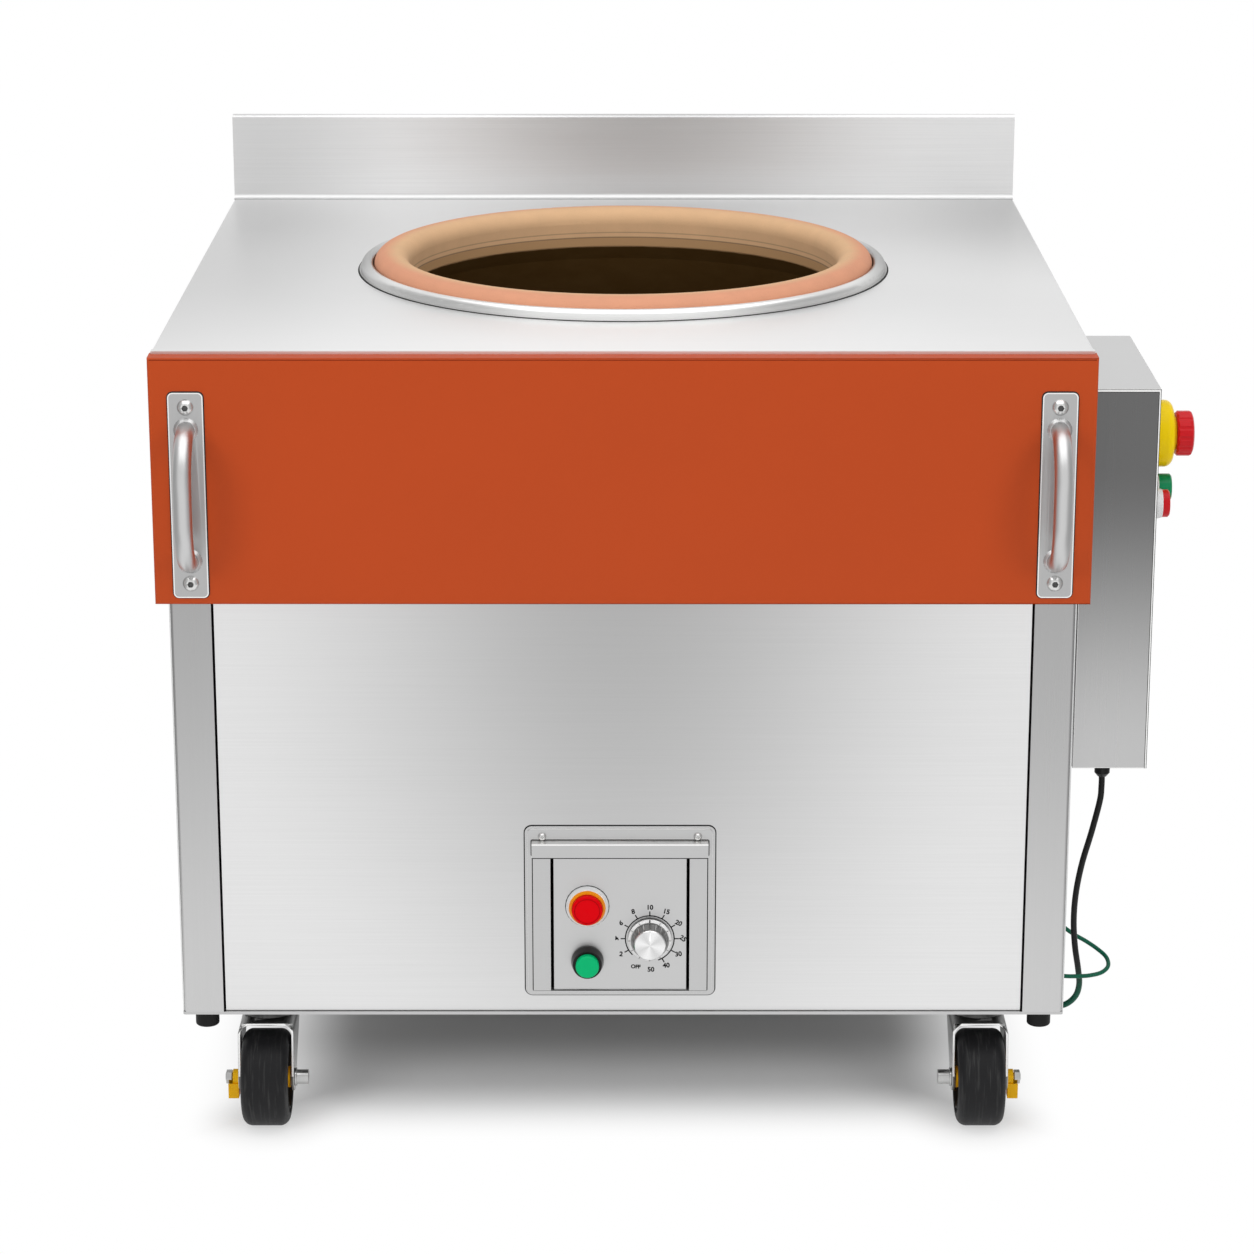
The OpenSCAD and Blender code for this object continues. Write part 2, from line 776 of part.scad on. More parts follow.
// Bow handle: a screwed plate with a tube welded to it, bent in two wide arcs and hardly straight between
module handle() {
    axis_y = tube_d / 2 - handle_reach;
    half = foot_span / 2;
    difference() {
        facing(0) linear_extrude(handle_t) round_rect(handle_w, handle_h, 5);
        for (end = [-1, 1])
            translate([0, 0, end * screw_span / 2]) facing(1)
                cylinder(h = handle_t + 2, d = screw_d + 2 * fit);
    }
    translate([0, axis_y, tube_bend - half]) cylinder(h = foot_span - 2 * tube_bend, d = tube_d);
    for (end = [0, 1]) mirror([0, 0, end]) {
        translate([0, axis_y + tube_bend, half - tube_bend]) rotate([0, 90, 0]) rotate(180)
            rotate_extrude(angle = 90) translate([tube_bend, 0]) circle(d = tube_d);
        translate([0, 0, half]) facing(-handle_t / 2)
            cylinder(h = -axis_y - tube_bend - handle_t / 2, d = tube_d);
        translate([0, 0, half]) facing(-handle_t / 2) cylinder(h = 4, d1 = tube_d + 8, d2 = tube_d + 1);
    }
}

module left_handle() {
    color("lightgray") translate(home) translate([-handle_x, 0, handle_z]) handle();
}

module right_handle() {
    color("lightgray") translate(home) translate([handle_x, 0, handle_z]) handle();
}

// Screws of the handles and of the pressed frame, and the earth stud with its nut and lug
module panel_screws() {
    color("lightgray") translate(home) {
        for (side = [-1, 1], end = [-1, 1])
            translate([side * handle_x, -handle_t, handle_z + end * screw_span / 2])
                dome_screw(screw_head_d, screw_head_h, screw_d, 14);
        for (side = [-1, 1])
            translate([frame_x + side * frame_screw_x, panel_y - frame_t,
                frame_z + frame_h - frame_screw_drop])
                dome_screw(frame_screw_d, 4, 4, frame_t + 8);
        translate([0, earth_stud[0], earth_stud[1]]) {
            outward(post_x - 6) cylinder(h = sheet + 15, d = earth_stud_d);
            outward(side_x) cylinder(h = stud_nut_h, d = stud_nut_d, $fn = 6);
            outward(side_x + stud_nut_h) cylinder(h = lug_t, d = lug_w);
            outward(side_x + stud_nut_h + lug_t) cylinder(h = stud_nut_h, d = stud_nut_d - 1, $fn = 6);
            block([side_x + stud_nut_h, -lug_tongue_w / 2, -lug_drop + barrel_h - 4],
                [side_x + stud_nut_h + lug_t, lug_tongue_w / 2, 0]);
            translate([side_x + lug_out, 0, -lug_drop]) cylinder(h = barrel_h, d = earth_lead_d + 2);
        }
    }
}

// ---- Control panel ----

// Pressed frame with its rail and its two guide bars
module control_frame() {
    mid_z = frame_z + frame_h / 2;
    color("silver") translate(home) {
        difference() {
            union() {
                translate([frame_x, 0, mid_z]) facing(panel_y)
                    linear_extrude(frame_t / 2) round_rect(frame_w, frame_h, frame_r);
                translate([frame_x, 0, mid_z]) facing(panel_y)
                    linear_extrude(frame_t) round_rect(frame_w - 5, frame_h - 5, frame_r - 2);
            }
            block([frame_x - window_w / 2, panel_y - 10, window_z],
                [frame_x + window_w / 2, panel_y + 1, rail_z]);
            for (side = [-1, 1])
                translate([frame_x + side * frame_screw_x, 0, frame_z + frame_h - frame_screw_drop])
                    facing(panel_y + 1) cylinder(h = 10, d = 4 + 2 * fit);
        }
        for (side = [-1, 1])
            translate([frame_x + side * (window_w / 2 - bar_w / 2), 0, 0])
                block([-bar_w / 2, panel_y - bar_t, window_z], [bar_w / 2, panel_y, rail_z]);
        difference() {
            block([frame_x - window_w / 2 - 1, panel_y - frame_t - rail_out, rail_z],
                [frame_x + window_w / 2 + 1, panel_y - frame_t, rail_z + rail_h]);
            block([frame_x - window_w / 2 + 1, panel_y - frame_t - rail_out + 2, rail_z - 1],
                [frame_x + window_w / 2 - 1, panel_y - frame_t + 1, rail_z + rail_h - 2]);
        }
    }
}

// A hole through the control plate
module plate_hole(x, z, d) {
    translate([x, 0, z]) facing(plate_y + 5) cylinder(h = 10, d = d + 2 * fit);
}

module control_plate() {
    color("lightgray") translate(home)
        difference() {
            block([frame_x - plate_w / 2, plate_y, window_z],
                [frame_x + plate_w / 2, plate_y + sheet, rail_z]);
            plate_hole(lamp_x, lamp_z, lamp_neck_d);
            plate_hole(lamp_x, push_z, push_neck_d);
            plate_hole(knob_x, knob_z, bush_d);
        }
}

// Tray behind the control plate, open at the front
module control_tray() {
    color("gray") translate(home)
        difference() {
            block([frame_x - tray_w / 2, panel_y, window_z - 0.5],
                [frame_x + tray_w / 2, panel_y + tray_d, rail_z + 0.5]);
            block([frame_x - tray_w / 2 + sheet, panel_y - 1, window_z + sheet],
                [frame_x + tray_w / 2 - sheet, panel_y + tray_d - sheet, rail_z - sheet]);
        }
}

// White bezel of the lamp: a dished ring with a neck through the plate
module lamp_bezel() {
    color("white") translate(home) translate([lamp_x, 0, lamp_z]) facing(plate_y)
        rotate_extrude() difference() {
            union() {
                polygon([[0, 0], [lamp_d / 2, 0], [lamp_d / 2, 2], [lamp_d / 2 - 2, lamp_bezel_h],
                    [0, lamp_bezel_h]]);
                translate([0, -8]) square([lamp_neck_d / 2, 9]);
            }
            translate([0, 1]) square([lamp_collar_d / 2 + fit, 20]);
            translate([0, -9]) square([lamp_stem_d / 2 + fit, 20]);
        }
}

// Amber collar that sits in the lamp's bezel
module lamp_collar() {
    color("orange") translate(home) translate([lamp_x, 0, lamp_z]) facing(plate_y)
        rotate_extrude() difference() {
            polygon([[0, 1], [lamp_collar_d / 2, 1], [lamp_collar_d / 2, lamp_bezel_h],
                [lamp_collar_d / 2 - 1.5, lamp_bezel_h + 3], [0, lamp_bezel_h + 3]]);
            translate([0, 3]) square([lamp_cap_d / 2 + slip, 20]);
            square([lamp_stem_d / 2 + fit, 20]);
        }
}

// Red cap of the lamp, which is also a push button
module lamp_cap() {
    low = 3 + cap_travel + slip;
    top = low + lamp_cap_h;
    color("red") translate(home) translate([lamp_x, 0, lamp_z]) facing(plate_y)
        rotate_extrude() {
            polygon([[0, low], [lamp_cap_d / 2, low], [lamp_cap_d / 2, top - 2],
                [lamp_cap_d / 2 - 1.5, top - 0.5], [0, top]]);
            translate([0, -11]) square([lamp_stem_d / 2, low + 11.5]);
        }
}

// Black bezel of the push button
module push_bezel() {
    color([0.1, 0.1, 0.1]) translate(home) translate([lamp_x, 0, push_z]) facing(plate_y)
        rotate_extrude() difference() {
            union() {
                polygon([[0, 0], [push_d / 2, 0], [push_d / 2, 3], [push_cap_d / 2 + 3, push_bezel_h],
                    [0, push_bezel_h]]);
                translate([0, -8]) square([push_neck_d / 2, 9]);
            }
            translate([0, 3]) square([push_cap_d / 2 + slip, 20]);
            translate([0, -9]) square([push_stem_d / 2 + fit, 20]);
        }
}

// Green cap of the push button
module push_cap() {
    low = 3 + cap_travel + slip;
    top = low + push_cap_h - 3;
    color("mediumseagreen") translate(home) translate([lamp_x, 0, push_z]) facing(plate_y)
        rotate_extrude() {
            polygon([[0, low], [push_cap_d / 2, low], [push_cap_d / 2, top - 1],
                [push_cap_d / 2 - 1, top], [0, top]]);
            translate([0, -11]) square([push_stem_d / 2, low + 11.5]);
        }
}

// Contact blocks and ring nuts behind the lamp and the push button
module switch_blocks() {
    block_w = 30;
    behind = plate_y + sheet;
    color([0.25, 0.25, 0.25]) translate(home)
        for (b = [[lamp_z, lamp_neck_d], [push_z, push_neck_d]])
            translate([lamp_x, 0, b[0]]) {
                difference() {
                    facing(plate_y + 8) cylinder(h = 8 - sheet, d = b[1] + 8);
                    facing(plate_y + 9) cylinder(h = 9, d = b[1] + 2 * fit);
                }
                difference() {
                    block([-block_w / 2, plate_y + 8, -block_w / 2],
                        [block_w / 2, panel_y + tray_d - 10, block_w / 2]);
                    facing(plate_y + 18) cylinder(h = 20, d = lamp_stem_d + 2 * slip);
                }
            }
}

// Body of the timer, with the bush that comes through the plate
module timer_body() {
    behind = plate_y + sheet;
    color("tan") translate(home) translate([knob_x, 0, knob_z])
        difference() {
            union() {
                block([-timer_w / 2, behind, -timer_w / 2],
                    [timer_w / 2, panel_y + tray_d - 16, timer_w / 2]);
                facing(behind + 1) cylinder(h = sheet + bush_h + 1, d = bush_d);
            }
            facing(behind + 22) cylinder(h = 40, d = spindle_d + 2 * fit);
        }
}

// Timer knob with its skirt, its grooved taper and its spindle
module timer_knob() {
    low = bush_h + slip;
    grooves = 18;
    r0 = 18.5;
    r1 = 16;
    lean = atan((r0 - r1) / (knob_h - low - 3));
    color("lightgray") translate(home) translate([knob_x, 0, knob_z]) facing(plate_y)
        difference() {
            union() {
                rotate_extrude() polygon([[0, low], [skirt_d / 2, low], [skirt_d / 2, low + 1],
                    [r0 + 1, low + 3], [r0, low + 3], [r1, knob_h - 1], [r1 - 1, knob_h], [0, knob_h]]);
                translate([0, 0, -18]) cylinder(h = low + 19, d = spindle_d);
            }
            for (k = [1 : grooves - 1])
                rotate(90 + 360 * k / grooves) translate([r0 + 0.5, 0, low + 3.5])
                    rotate([0, -lean, 0]) cylinder(h = knob_h, r = 0.9, $fn = 16);
            translate([-0.8, 5, knob_h - 0.6]) cube([1.6, 15, 2]);
        }
}

// ---- Control box ----

// Knuckles of the two hinges: those of the box, or those of the door between them
module knuckles(of_door) {
    for (z = hinge_z, part = of_door ? [0] : [-1, 1])
        translate([hinge_x, hinge_y, z + part * (knuckle_h + slip)])
            difference() {
                union() {
                    translate([0, 0, -knuckle_h / 2]) cylinder(h = knuckle_h, r = knuckle_r);
                    leaf_y = of_door ? door_y1 - sheet : box_y1 - sheet + 0.1;
                    translate([-hinge_x, -hinge_y, 0])
                        block([box_x1 - sheet, leaf_y, -knuckle_h / 2],
                            [hinge_x, leaf_y + sheet - 0.1, knuckle_h / 2]);
                }
                if (of_door)
                    cylinder(h = knuckle_h + 2, d = pin_d + 2 * fit, center = true);
            }
}

// Shell of the control box, open on its outer side, with the pins of its hinges
module box_body() {
    color("darkgray") translate(home) {
        difference() {
            block([box_x0, box_y0, box_z0], [box_x1, box_y1, box_z1]);
            block([box_x0 + sheet, box_y0 + sheet, box_z0 + sheet],
                [box_x1 + 1, box_y1 - sheet, box_z1 - sheet]);
            for (g = [power_gland, supply_gland])
                translate([g[0], g[1], box_z0 - 1]) cylinder(h = sheet + 2, d = gland_d + 2 * fit);
        }
        stop_x = box_x1 - door_return - seat;
        block([stop_x - sheet, box_y0 + sheet / 2, box_z0 + sheet / 2],
            [stop_x, box_y0 + sheet + stop_lip, box_z1 - sheet / 2]);
        knuckles(false);
        for (z = hinge_z)
            translate([hinge_x, hinge_y, z]) cylinder(h = 2 * knuckle_h, d = pin_d, center = true);
    }
}

// Two hat-section brackets between the side panel and the control box
module box_brackets() {
    color("gray") translate(home)
        for (z = [box_z0 + bracket_up, box_z1 - bracket_drop])
            difference() {
                block([side_x, box_y0 + bracket_in, z], [box_x0, box_y1 - bracket_in, z + bracket_h]);
                block([side_x - 1, box_y0 + bracket_in + bracket_foot, z - 1],
                    [box_x0 - bracket_t, box_y1 - bracket_in - bracket_foot, z + bracket_h + 1]);
            }
}

// Contactor and circuit breaker on a mounting rail, screwed to the wall of the box
module contactor() {
    breaker_y = box_y0 + rail_in + 15;
    contactor_y = box_y0 + rail_in + 75;
    foot_x = box_x0 + sheet;
    face_x = foot_x + din_t;
    color("dimgray") translate(home) translate([0, 0, box_z0 + din_up]) {
        difference() {
            block([foot_x, box_y0 + rail_in, -din_w / 2], [face_x, box_y1 - rail_in, din_w / 2]);
            block([foot_x + 1, box_y0 + rail_in - 1, -din_w / 2 + 5],
                [face_x + 1, box_y1 - rail_in + 1, din_w / 2 - 5]);
        }
        block([face_x, breaker_y, -breaker_h / 2],
            [face_x + breaker_out, breaker_y + breaker_w, breaker_h / 2]);
        block([face_x + breaker_out, breaker_y + 7, -22],
            [face_x + breaker_out + 6, breaker_y + breaker_w - 7, 22]);
        block([face_x, contactor_y, -contactor_h / 2],
            [face_x + contactor_out, contactor_y + contactor_w, contactor_h / 2]);
        block([face_x + contactor_out, contactor_y, -22],
            [face_x + contactor_out + 7, contactor_y + contactor_w, 22]);
    }
}

// Threaded body of a gland in a wall at z = 0, with its nut and its dome below, bored through
module gland(bore, below) {
    rotate([180, 0, 0])
        difference() {
            union() {
                translate([0, 0, -6]) cylinder(h = 8, d = gland_d);
                translate([0, 0, seat / 2]) cylinder(h = 5, d = gland_d + 8, $fn = 6);
                translate([0, 0, 5]) cylinder(h = below - 9, d = gland_d + 2);
                translate([0, 0, below - 4]) cylinder(h = 4, d1 = gland_d + 2, d2 = bore + 3);
            }
            translate([0, 0, -10]) cylinder(h = below + 20, d = bore);
        }
}

// Glands of the power lead, of the supply and of the two entries in the base pan
module cable_glands() {
    color([0.12, 0.12, 0.12]) translate(home) {
        translate([power_gland[0], power_gland[1], box_z0]) gland(power_lead_d + 2 * fit, 32);
        translate([supply_gland[0], supply_gland[1], box_z0]) gland(supply_bore_d, gland_h);
        translate([power_entry[0], power_entry[1], pan_z]) gland(power_lead_d + 2 * fit, 18);
        translate([earth_entry[0], earth_entry[1], pan_z])
            difference() {
                union() {
                    translate([0, 0, -3]) cylinder(h = 3 - seat / 2, d = gland_d + 4);
                    translate([0, 0, -1]) cylinder(h = pan_t + 3, d = gland_d);
                }
                translate([0, 0, -4]) cylinder(h = 20, d = earth_lead_d + 2 * fit);
            }
    }
}

// Black lead from the control box down and under the cabinet into the base pan
module power_lead() {
    color([0.08, 0.08, 0.08]) translate(home) lead(power_route, power_lead_d, 3, 10);
}

// Green lead from the stud on the side panel, in a loop, into the base pan
module earth_lead() {
    color("seagreen") translate(home) lead(earth_route, earth_lead_d, 3, 10);
}

// Door of the control box with returned edges and the holes of its three controls
module box_door() {
    color("darkgray") translate(home) {
        difference() {
            block([box_x1 - door_return, door_y0, door_z0], [box_x1, door_y1, door_z1]);
            block([box_x1 - door_return - 1, door_y0 + sheet, door_z0 + sheet],
                [box_x1 - sheet, door_y1 - sheet, door_z1 - sheet]);
            for (c = [[estop_y, estop_z], [run_y, run_z], [stop_y, stop_z]])
                translate([0, c[0], c[1]]) outward(box_x1 - 5) cylinder(h = 10, d = door_hole_d + 2 * fit);
        }
        knuckles(true);
    }
}

// Yellow base of the emergency stop: a disc with a tapered front edge, and a threaded neck
module estop_base() {
    r = estop_d / 2;
    color("gold") translate(home) translate([0, estop_y, estop_z]) outward(box_x1)
        rotate_extrude() difference() {
            union() {
                polygon([[0, 0], [r, 0], [r, estop_base_h * 0.62], [r - 5.5, estop_base_h - 1.5],
                    [r - 7, estop_base_h], [0, estop_base_h]]);
                translate([0, -10]) square([door_hole_d / 2, 11]);
            }
            translate([0, estop_floor]) square([estop_stem_d / 2 + slip, estop_base_h]);
            translate([0, -11]) square([estop_rod_d / 2 + slip, 20]);
        }
}

// White bezels of the run and stop buttons
module door_bezels() {
    color("white") translate(home)
        for (c = [[run_y, run_z], [stop_y, stop_z]])
            translate([0, c[0], c[1]]) outward(box_x1)
                rotate_extrude() difference() {
                    union() {
                        polygon([[0, 0], [bezel_d / 2, 0], [bezel_d / 2, 3],
                            [bezel_d / 2 - 1.5, bezel_h], [0, bezel_h]]);
                        translate([0, -8]) square([door_hole_d / 2, 9]);
                    }
                    translate([0, 2]) square([cap_d / 2 + slip, 20]);
                    translate([0, -9]) square([cap_stem_d / 2 + slip, 20]);
                }
}

// Contact blocks and ring nuts behind the door
module door_blocks() {
    inside = box_x1 - sheet;
    color([0.25, 0.25, 0.25]) translate(home)
        for (c = [[estop_y, estop_z, 32, estop_rod_d + 3], [run_y, run_z, 26, cap_stem_d + 1],
            [stop_y, stop_z, 26, cap_stem_d + 1]])
            translate([0, c[0], c[1]]) {
                difference() {
                    outward(inside - 10) cylinder(h = 10, d = door_hole_d + 6);
                    outward(inside - 11) cylinder(h = 12, d = door_hole_d + 2 * fit);
                }
                difference() {
                    block([inside - block_d, -c[2] / 2, -c[2] / 2], [inside - 10, c[2] / 2, c[2] / 2]);
                    outward(inside - 26) cylinder(h = 30, d = c[3]);
                }
            }
}

// Sliding stem of the emergency stop: a wide sleeve in the base, with a rod behind and a spigot before
module estop_stem() {
    low = estop_floor + estop_press + slip;
    top = estop_base_h + estop_press;
    color("gold") translate(home) translate([0, estop_y, estop_z]) outward(box_x1)
        union() {
            translate([0, 0, low]) cylinder(h = top - low, d = estop_stem_d);
            translate([0, 0, -14]) cylinder(h = low + 15, d = estop_rod_d);
            translate([0, 0, top - 1]) cylinder(h = estop_spigot_h + 1, d = estop_spigot_d);
        }
}

// Red mushroom head with finger flutes round its edge
module estop_head() {
    low = estop_base_h + estop_press + seat;
    r = mushroom_d / 2;
    top = estop_reach;
    flutes = 14;
    color("crimson") translate(home) translate([0, estop_y, estop_z]) outward(box_x1)
        difference() {
            rotate_extrude() polygon([[0, low], [r - 2, low], [r, low + 2], [r, top - 4],
                [r - 1, top - 2], [r - 4, top - 0.6], [0, top]]);
            for (k = [1 : flutes])
                rotate(360 * k / flutes) translate([r + 2.2, 0, low - 1]) cylinder(h = top, r = 3.2);
            translate([0, 0, low - 1]) cylinder(h = estop_spigot_h + 1 + seat, d = estop_spigot_d + 2 * fit);
        }
}

// A cap of the run or stop button, for the bezel at (y, z)
module door_cap(y, z, out) {
    low = 2 + cap_travel + slip;
    translate([0, y, z]) outward(box_x1)
        rotate_extrude() {
            polygon([[0, low], [cap_d / 2, low], [cap_d / 2, out - 1.5], [cap_d / 2 - 1.5, out], [0, out]]);
            translate([0, -12]) square([cap_stem_d / 2, low + 12.5]);
        }
}

module run_cap() {
    color("mediumseagreen") translate(home) door_cap(run_y, run_z, 22);
}

module stop_cap() {
    color("crimson") translate(home) door_cap(stop_y, stop_z, 16);
}

// ---- Casters ----

// Bolted plate, upper race and kingpin of each caster
module caster_plates() {
    plate_w = 76;
    plate_d = 92;
    color("gray") translate(home)
        for (side = [-1, 1], y = [caster_front, caster_rear])
            translate([side * caster_x, y, 0]) {
                translate([0, 0, pan_z - caster_plate_t])
                    linear_extrude(caster_plate_t) round_rect(plate_w, plate_d, 6);
                translate([0, 0, fork_top + race_h + slip])
                    cylinder(h = pan_z - fork_top - race_h - slip - 1, d1 = race_d - 6, d2 = race_d + 4);
                translate([0, 0, fork_top - fork_t - 5]) cylinder(h = 20, d = kingpin_d);
                translate([0, 0, fork_top - fork_t - 5]) cylinder(h = 4.5, d = kingpin_d + 8);
                for (sx = [-1, 1], sy = [-1, 1])
                    translate([sx * 29, sy * 37, pan_z - caster_plate_t - 5])
                        cylinder(h = 6, d = 13, $fn = 6);
            }
}

// Side outline of a fork: the crown over the swivel axis and the leg down to the axle
module fork_side() {
    boss = 14;
    polygon([[-trail - 2, fork_top], [34, fork_top], [34, fork_top - 14],
        [-trail + boss * 0.8, wheel_z - boss * 0.6], [-trail - boss, wheel_z]]);
    translate([-trail, wheel_z]) circle(r = boss);
}

// Fork: a bent strap with its lower race, and the axle bolt with its head and nut
module fork() {
    difference() {
        union() {
            intersection() {
                translate([0, wheel_d, fork_top]) rotate([90, 0, 0]) mirror([0, 1, 0])
                    linear_extrude(2 * wheel_d) difference() {
                        nosed(2 * fork_out, fork_top, fork_r);
                        translate([0, fork_t]) nosed(2 * fork_in, fork_top, fork_r - fork_t);
                    }
                outward(-wheel_d) linear_extrude(2 * wheel_d) fork_side();
            }
            translate([0, 0, fork_top - 1]) cylinder(h = race_h + 1, d1 = race_d, d2 = race_d - 10);
        }
        translate([0, 0, fork_top - 20]) cylinder(h = 40, d = kingpin_d + 2 * fit);
        translate([0, -trail, wheel_z]) outward(-50) cylinder(h = 100, d = axle_d + 2 * fit);
    }
    translate([0, -trail, wheel_z]) {
        outward(-fork_out - 14) cylinder(h = 2 * fork_out + 27, d = axle_d);
        outward(fork_out + seat / 3) cylinder(h = 2, d = nut_d + 4);
        outward(fork_out + 2) cylinder(h = 12, d = nut_d);
        mirror([1, 0, 0]) outward(fork_out + 7) cylinder(h = 6.5, d = nut_d, $fn = 6);
    }
}

// Places a caster's pieces: side is -1 on the left, and y is its swivel axis. The nut faces out.
module at_caster(side, y) {
    translate(home) translate([side * caster_x, y, 0]) mirror([side > 0 ? 1 : 0, 0, 0]) children();
}

module fork_front_left() {
    color("darkgray") at_caster(-1, caster_front) fork();
}

module fork_front_right() {
    color("darkgray") at_caster(1, caster_front) fork();
}

module fork_rear_left() {
    color("darkgray") at_caster(-1, caster_rear) fork();
}

module fork_rear_right() {
    color("darkgray") at_caster(1, caster_rear) fork();
}

// Yellow hub: a bored boss, a web with eight ribs and a rim for the tyre
module hub() {
    half = wheel_w / 2;
    translate([0, -trail, wheel_z]) outward(0)
        difference() {
            union() {
                rotate_extrude() {
                    translate([0, 0.5 - half]) square([11, wheel_w - 1]);
                    translate([0, -3]) square([hub_d / 2 - 2, 6]);
                    translate([hub_d / 2 - 4, 6 - half]) square([4, wheel_w - 12]);
                }
                for (k = [0 : 7])
                    rotate(45 * k) translate([8, -1.25, 9 - half]) cube([hub_d / 2 - 10, 2.5, wheel_w - 18]);
            }
            cylinder(h = 100, d = axle_d + 2 * fit, center = true);
        }
}

module hub_front_left() {
    color("gold") at_caster(-1, caster_front) hub();
}

module hub_front_right() {
    color("gold") at_caster(1, caster_front) hub();
}

module hub_rear_left() {
    color("gold") at_caster(-1, caster_rear) hub();
}

module hub_rear_right() {
    color("gold") at_caster(1, caster_rear) hub();
}

// Black tyre with a flat tread and round shoulders
module tyre() {
    shoulder = 10;
    w = wheel_w - 2;
    translate([0, -trail, wheel_z]) outward(0)
        rotate_extrude() difference() {
            union() {
                translate([0, -w / 2]) square([wheel_d / 2 - shoulder, w]);
                translate([0, shoulder - w / 2]) square([wheel_d / 2, w - 2 * shoulder]);
                for (side = [-1, 1])
                    translate([wheel_d / 2 - shoulder, side * (w / 2 - shoulder)]) circle(r = shoulder);
            }
            translate([-1, -wheel_w]) square([hub_d / 2 + fit + 1, 2 * wheel_w]);
            for (side = [-1, 1])
                translate([hub_d / 2 + 4, side * w / 2]) circle(r = 2.5);
        }
}

module tyre_front_left() {
    color([0.1, 0.1, 0.1]) at_caster(-1, caster_front) tyre();
}

module tyre_front_right() {
    color([0.1, 0.1, 0.1]) at_caster(1, caster_front) tyre();
}

module tyre_rear_left() {
    color([0.1, 0.1, 0.1]) at_caster(-1, caster_rear) tyre();
}

module tyre_rear_right() {
    color([0.1, 0.1, 0.1]) at_caster(1, caster_rear) tyre();
}

// Yellow side brake lever that turns on the axle between the fork and the nut
module brake() {
    translate([0, -trail, wheel_z]) mirror([1, 0, 0])
        difference() {
            union() {
                outward(fork_out + slip) cylinder(h = 6 - 2 * slip + 0.5, d = nut_d + 1);
                block([fork_out + slip, -8, -21], [fork_out + 11, 5, -5]);
            }
            outward(0) cylinder(h = 80, d = axle_d + 2 * fit);
            outward(fork_out + 6.5) cylinder(h = 20, d = nut_d + 2);
        }
}

module brake_left() {
    color("gold") at_caster(-1, caster_front) brake();
}

module brake_right() {
    color("gold") at_caster(1, caster_front) brake();
}

// Rubber feet under the four corners of the base pan
module post_feet() {
    color([0.12, 0.12, 0.12]) translate(home)
        for (side = [-1, 1], y = [front_y + 16, back_y - 16])
            translate([side * (side_x - 23), y, pan_z - foot_pad_h])
                rotate_extrude() {
                    square([foot_pad_d / 2 - 2, foot_pad_h]);
                    translate([0, 2]) square([foot_pad_d / 2, foot_pad_h - 2]);
                    translate([foot_pad_d / 2 - 2, 2]) circle(r = 2);
                }
}

base_pan();
base_frame();
corner_posts();
left_panel();
right_panel();
back_panel();
front_panel();
fascia();
worktop();
backsplash();
mouth_ring();
clay_rim();
clay_pot();
insulation();
hearth();
heater_element();
left_handle();
right_handle();
panel_screws();
control_frame();
control_plate();
control_tray();
lamp_bezel();
lamp_collar();
push_bezel();
switch_blocks();
timer_body();
box_body();
box_brackets();
contactor();
cable_glands();
power_lead();
earth_lead();
caster_plates();
post_feet();
timer_knob();
lamp_cap();
push_cap();
box_door();
estop_base();
door_bezels();
door_blocks();
estop_stem();
estop_head();
run_cap();
stop_cap();
fork_front_left();
fork_front_right();
fork_rear_left();
fork_rear_right();
hub_front_left();
hub_front_right();
hub_rear_left();
hub_rear_right();
tyre_front_left();
tyre_front_right();
tyre_rear_left();
tyre_rear_right();
brake_left();
brake_right();
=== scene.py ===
"""Looks of the electric clay tandoor oven: its finishes, leads, dial print and studio."""

import json
import logging
import math
from dataclasses import dataclass, field
from enum import Enum
from typing import Callable, Sequence

import bmesh
import bpy
from mathutils import Matrix, Vector


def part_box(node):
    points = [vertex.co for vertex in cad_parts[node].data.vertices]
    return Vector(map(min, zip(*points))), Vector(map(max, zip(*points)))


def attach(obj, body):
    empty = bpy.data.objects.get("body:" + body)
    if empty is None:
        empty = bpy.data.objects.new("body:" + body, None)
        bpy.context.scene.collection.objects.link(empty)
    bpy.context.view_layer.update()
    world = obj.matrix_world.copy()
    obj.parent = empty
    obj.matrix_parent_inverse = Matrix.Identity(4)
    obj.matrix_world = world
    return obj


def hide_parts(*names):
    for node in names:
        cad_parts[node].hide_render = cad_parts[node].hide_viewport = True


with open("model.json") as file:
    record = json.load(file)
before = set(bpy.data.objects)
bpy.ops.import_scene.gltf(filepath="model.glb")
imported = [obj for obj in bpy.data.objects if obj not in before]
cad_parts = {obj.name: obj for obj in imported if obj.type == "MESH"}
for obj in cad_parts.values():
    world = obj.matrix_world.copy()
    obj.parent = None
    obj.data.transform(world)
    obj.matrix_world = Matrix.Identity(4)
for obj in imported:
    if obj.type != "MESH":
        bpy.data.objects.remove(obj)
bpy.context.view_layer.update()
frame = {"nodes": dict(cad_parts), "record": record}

log = logging.getLogger("oven")
MM = 0.001
LIFT_MM = 0.04  # How far a thin line stands off the face that it lies on.
SHARP_DEG = 32.0  # An edge of a smooth piece stays sharp above this angle.
IMAGE_PX = 1254

Colour = tuple[float, float, float]
Point = tuple[float, float, float]
Outline = Sequence[tuple[float, float]]

BODIES = frame["record"]["behaviour"]["bodies"]
BODY_OF = {node: body for body, nodes in BODIES.items() for node in nodes}


class Grain(Enum):
    """Direction of the brushing, as the index of an axis of the frame."""

    ACROSS = 0
    UPRIGHT = 2


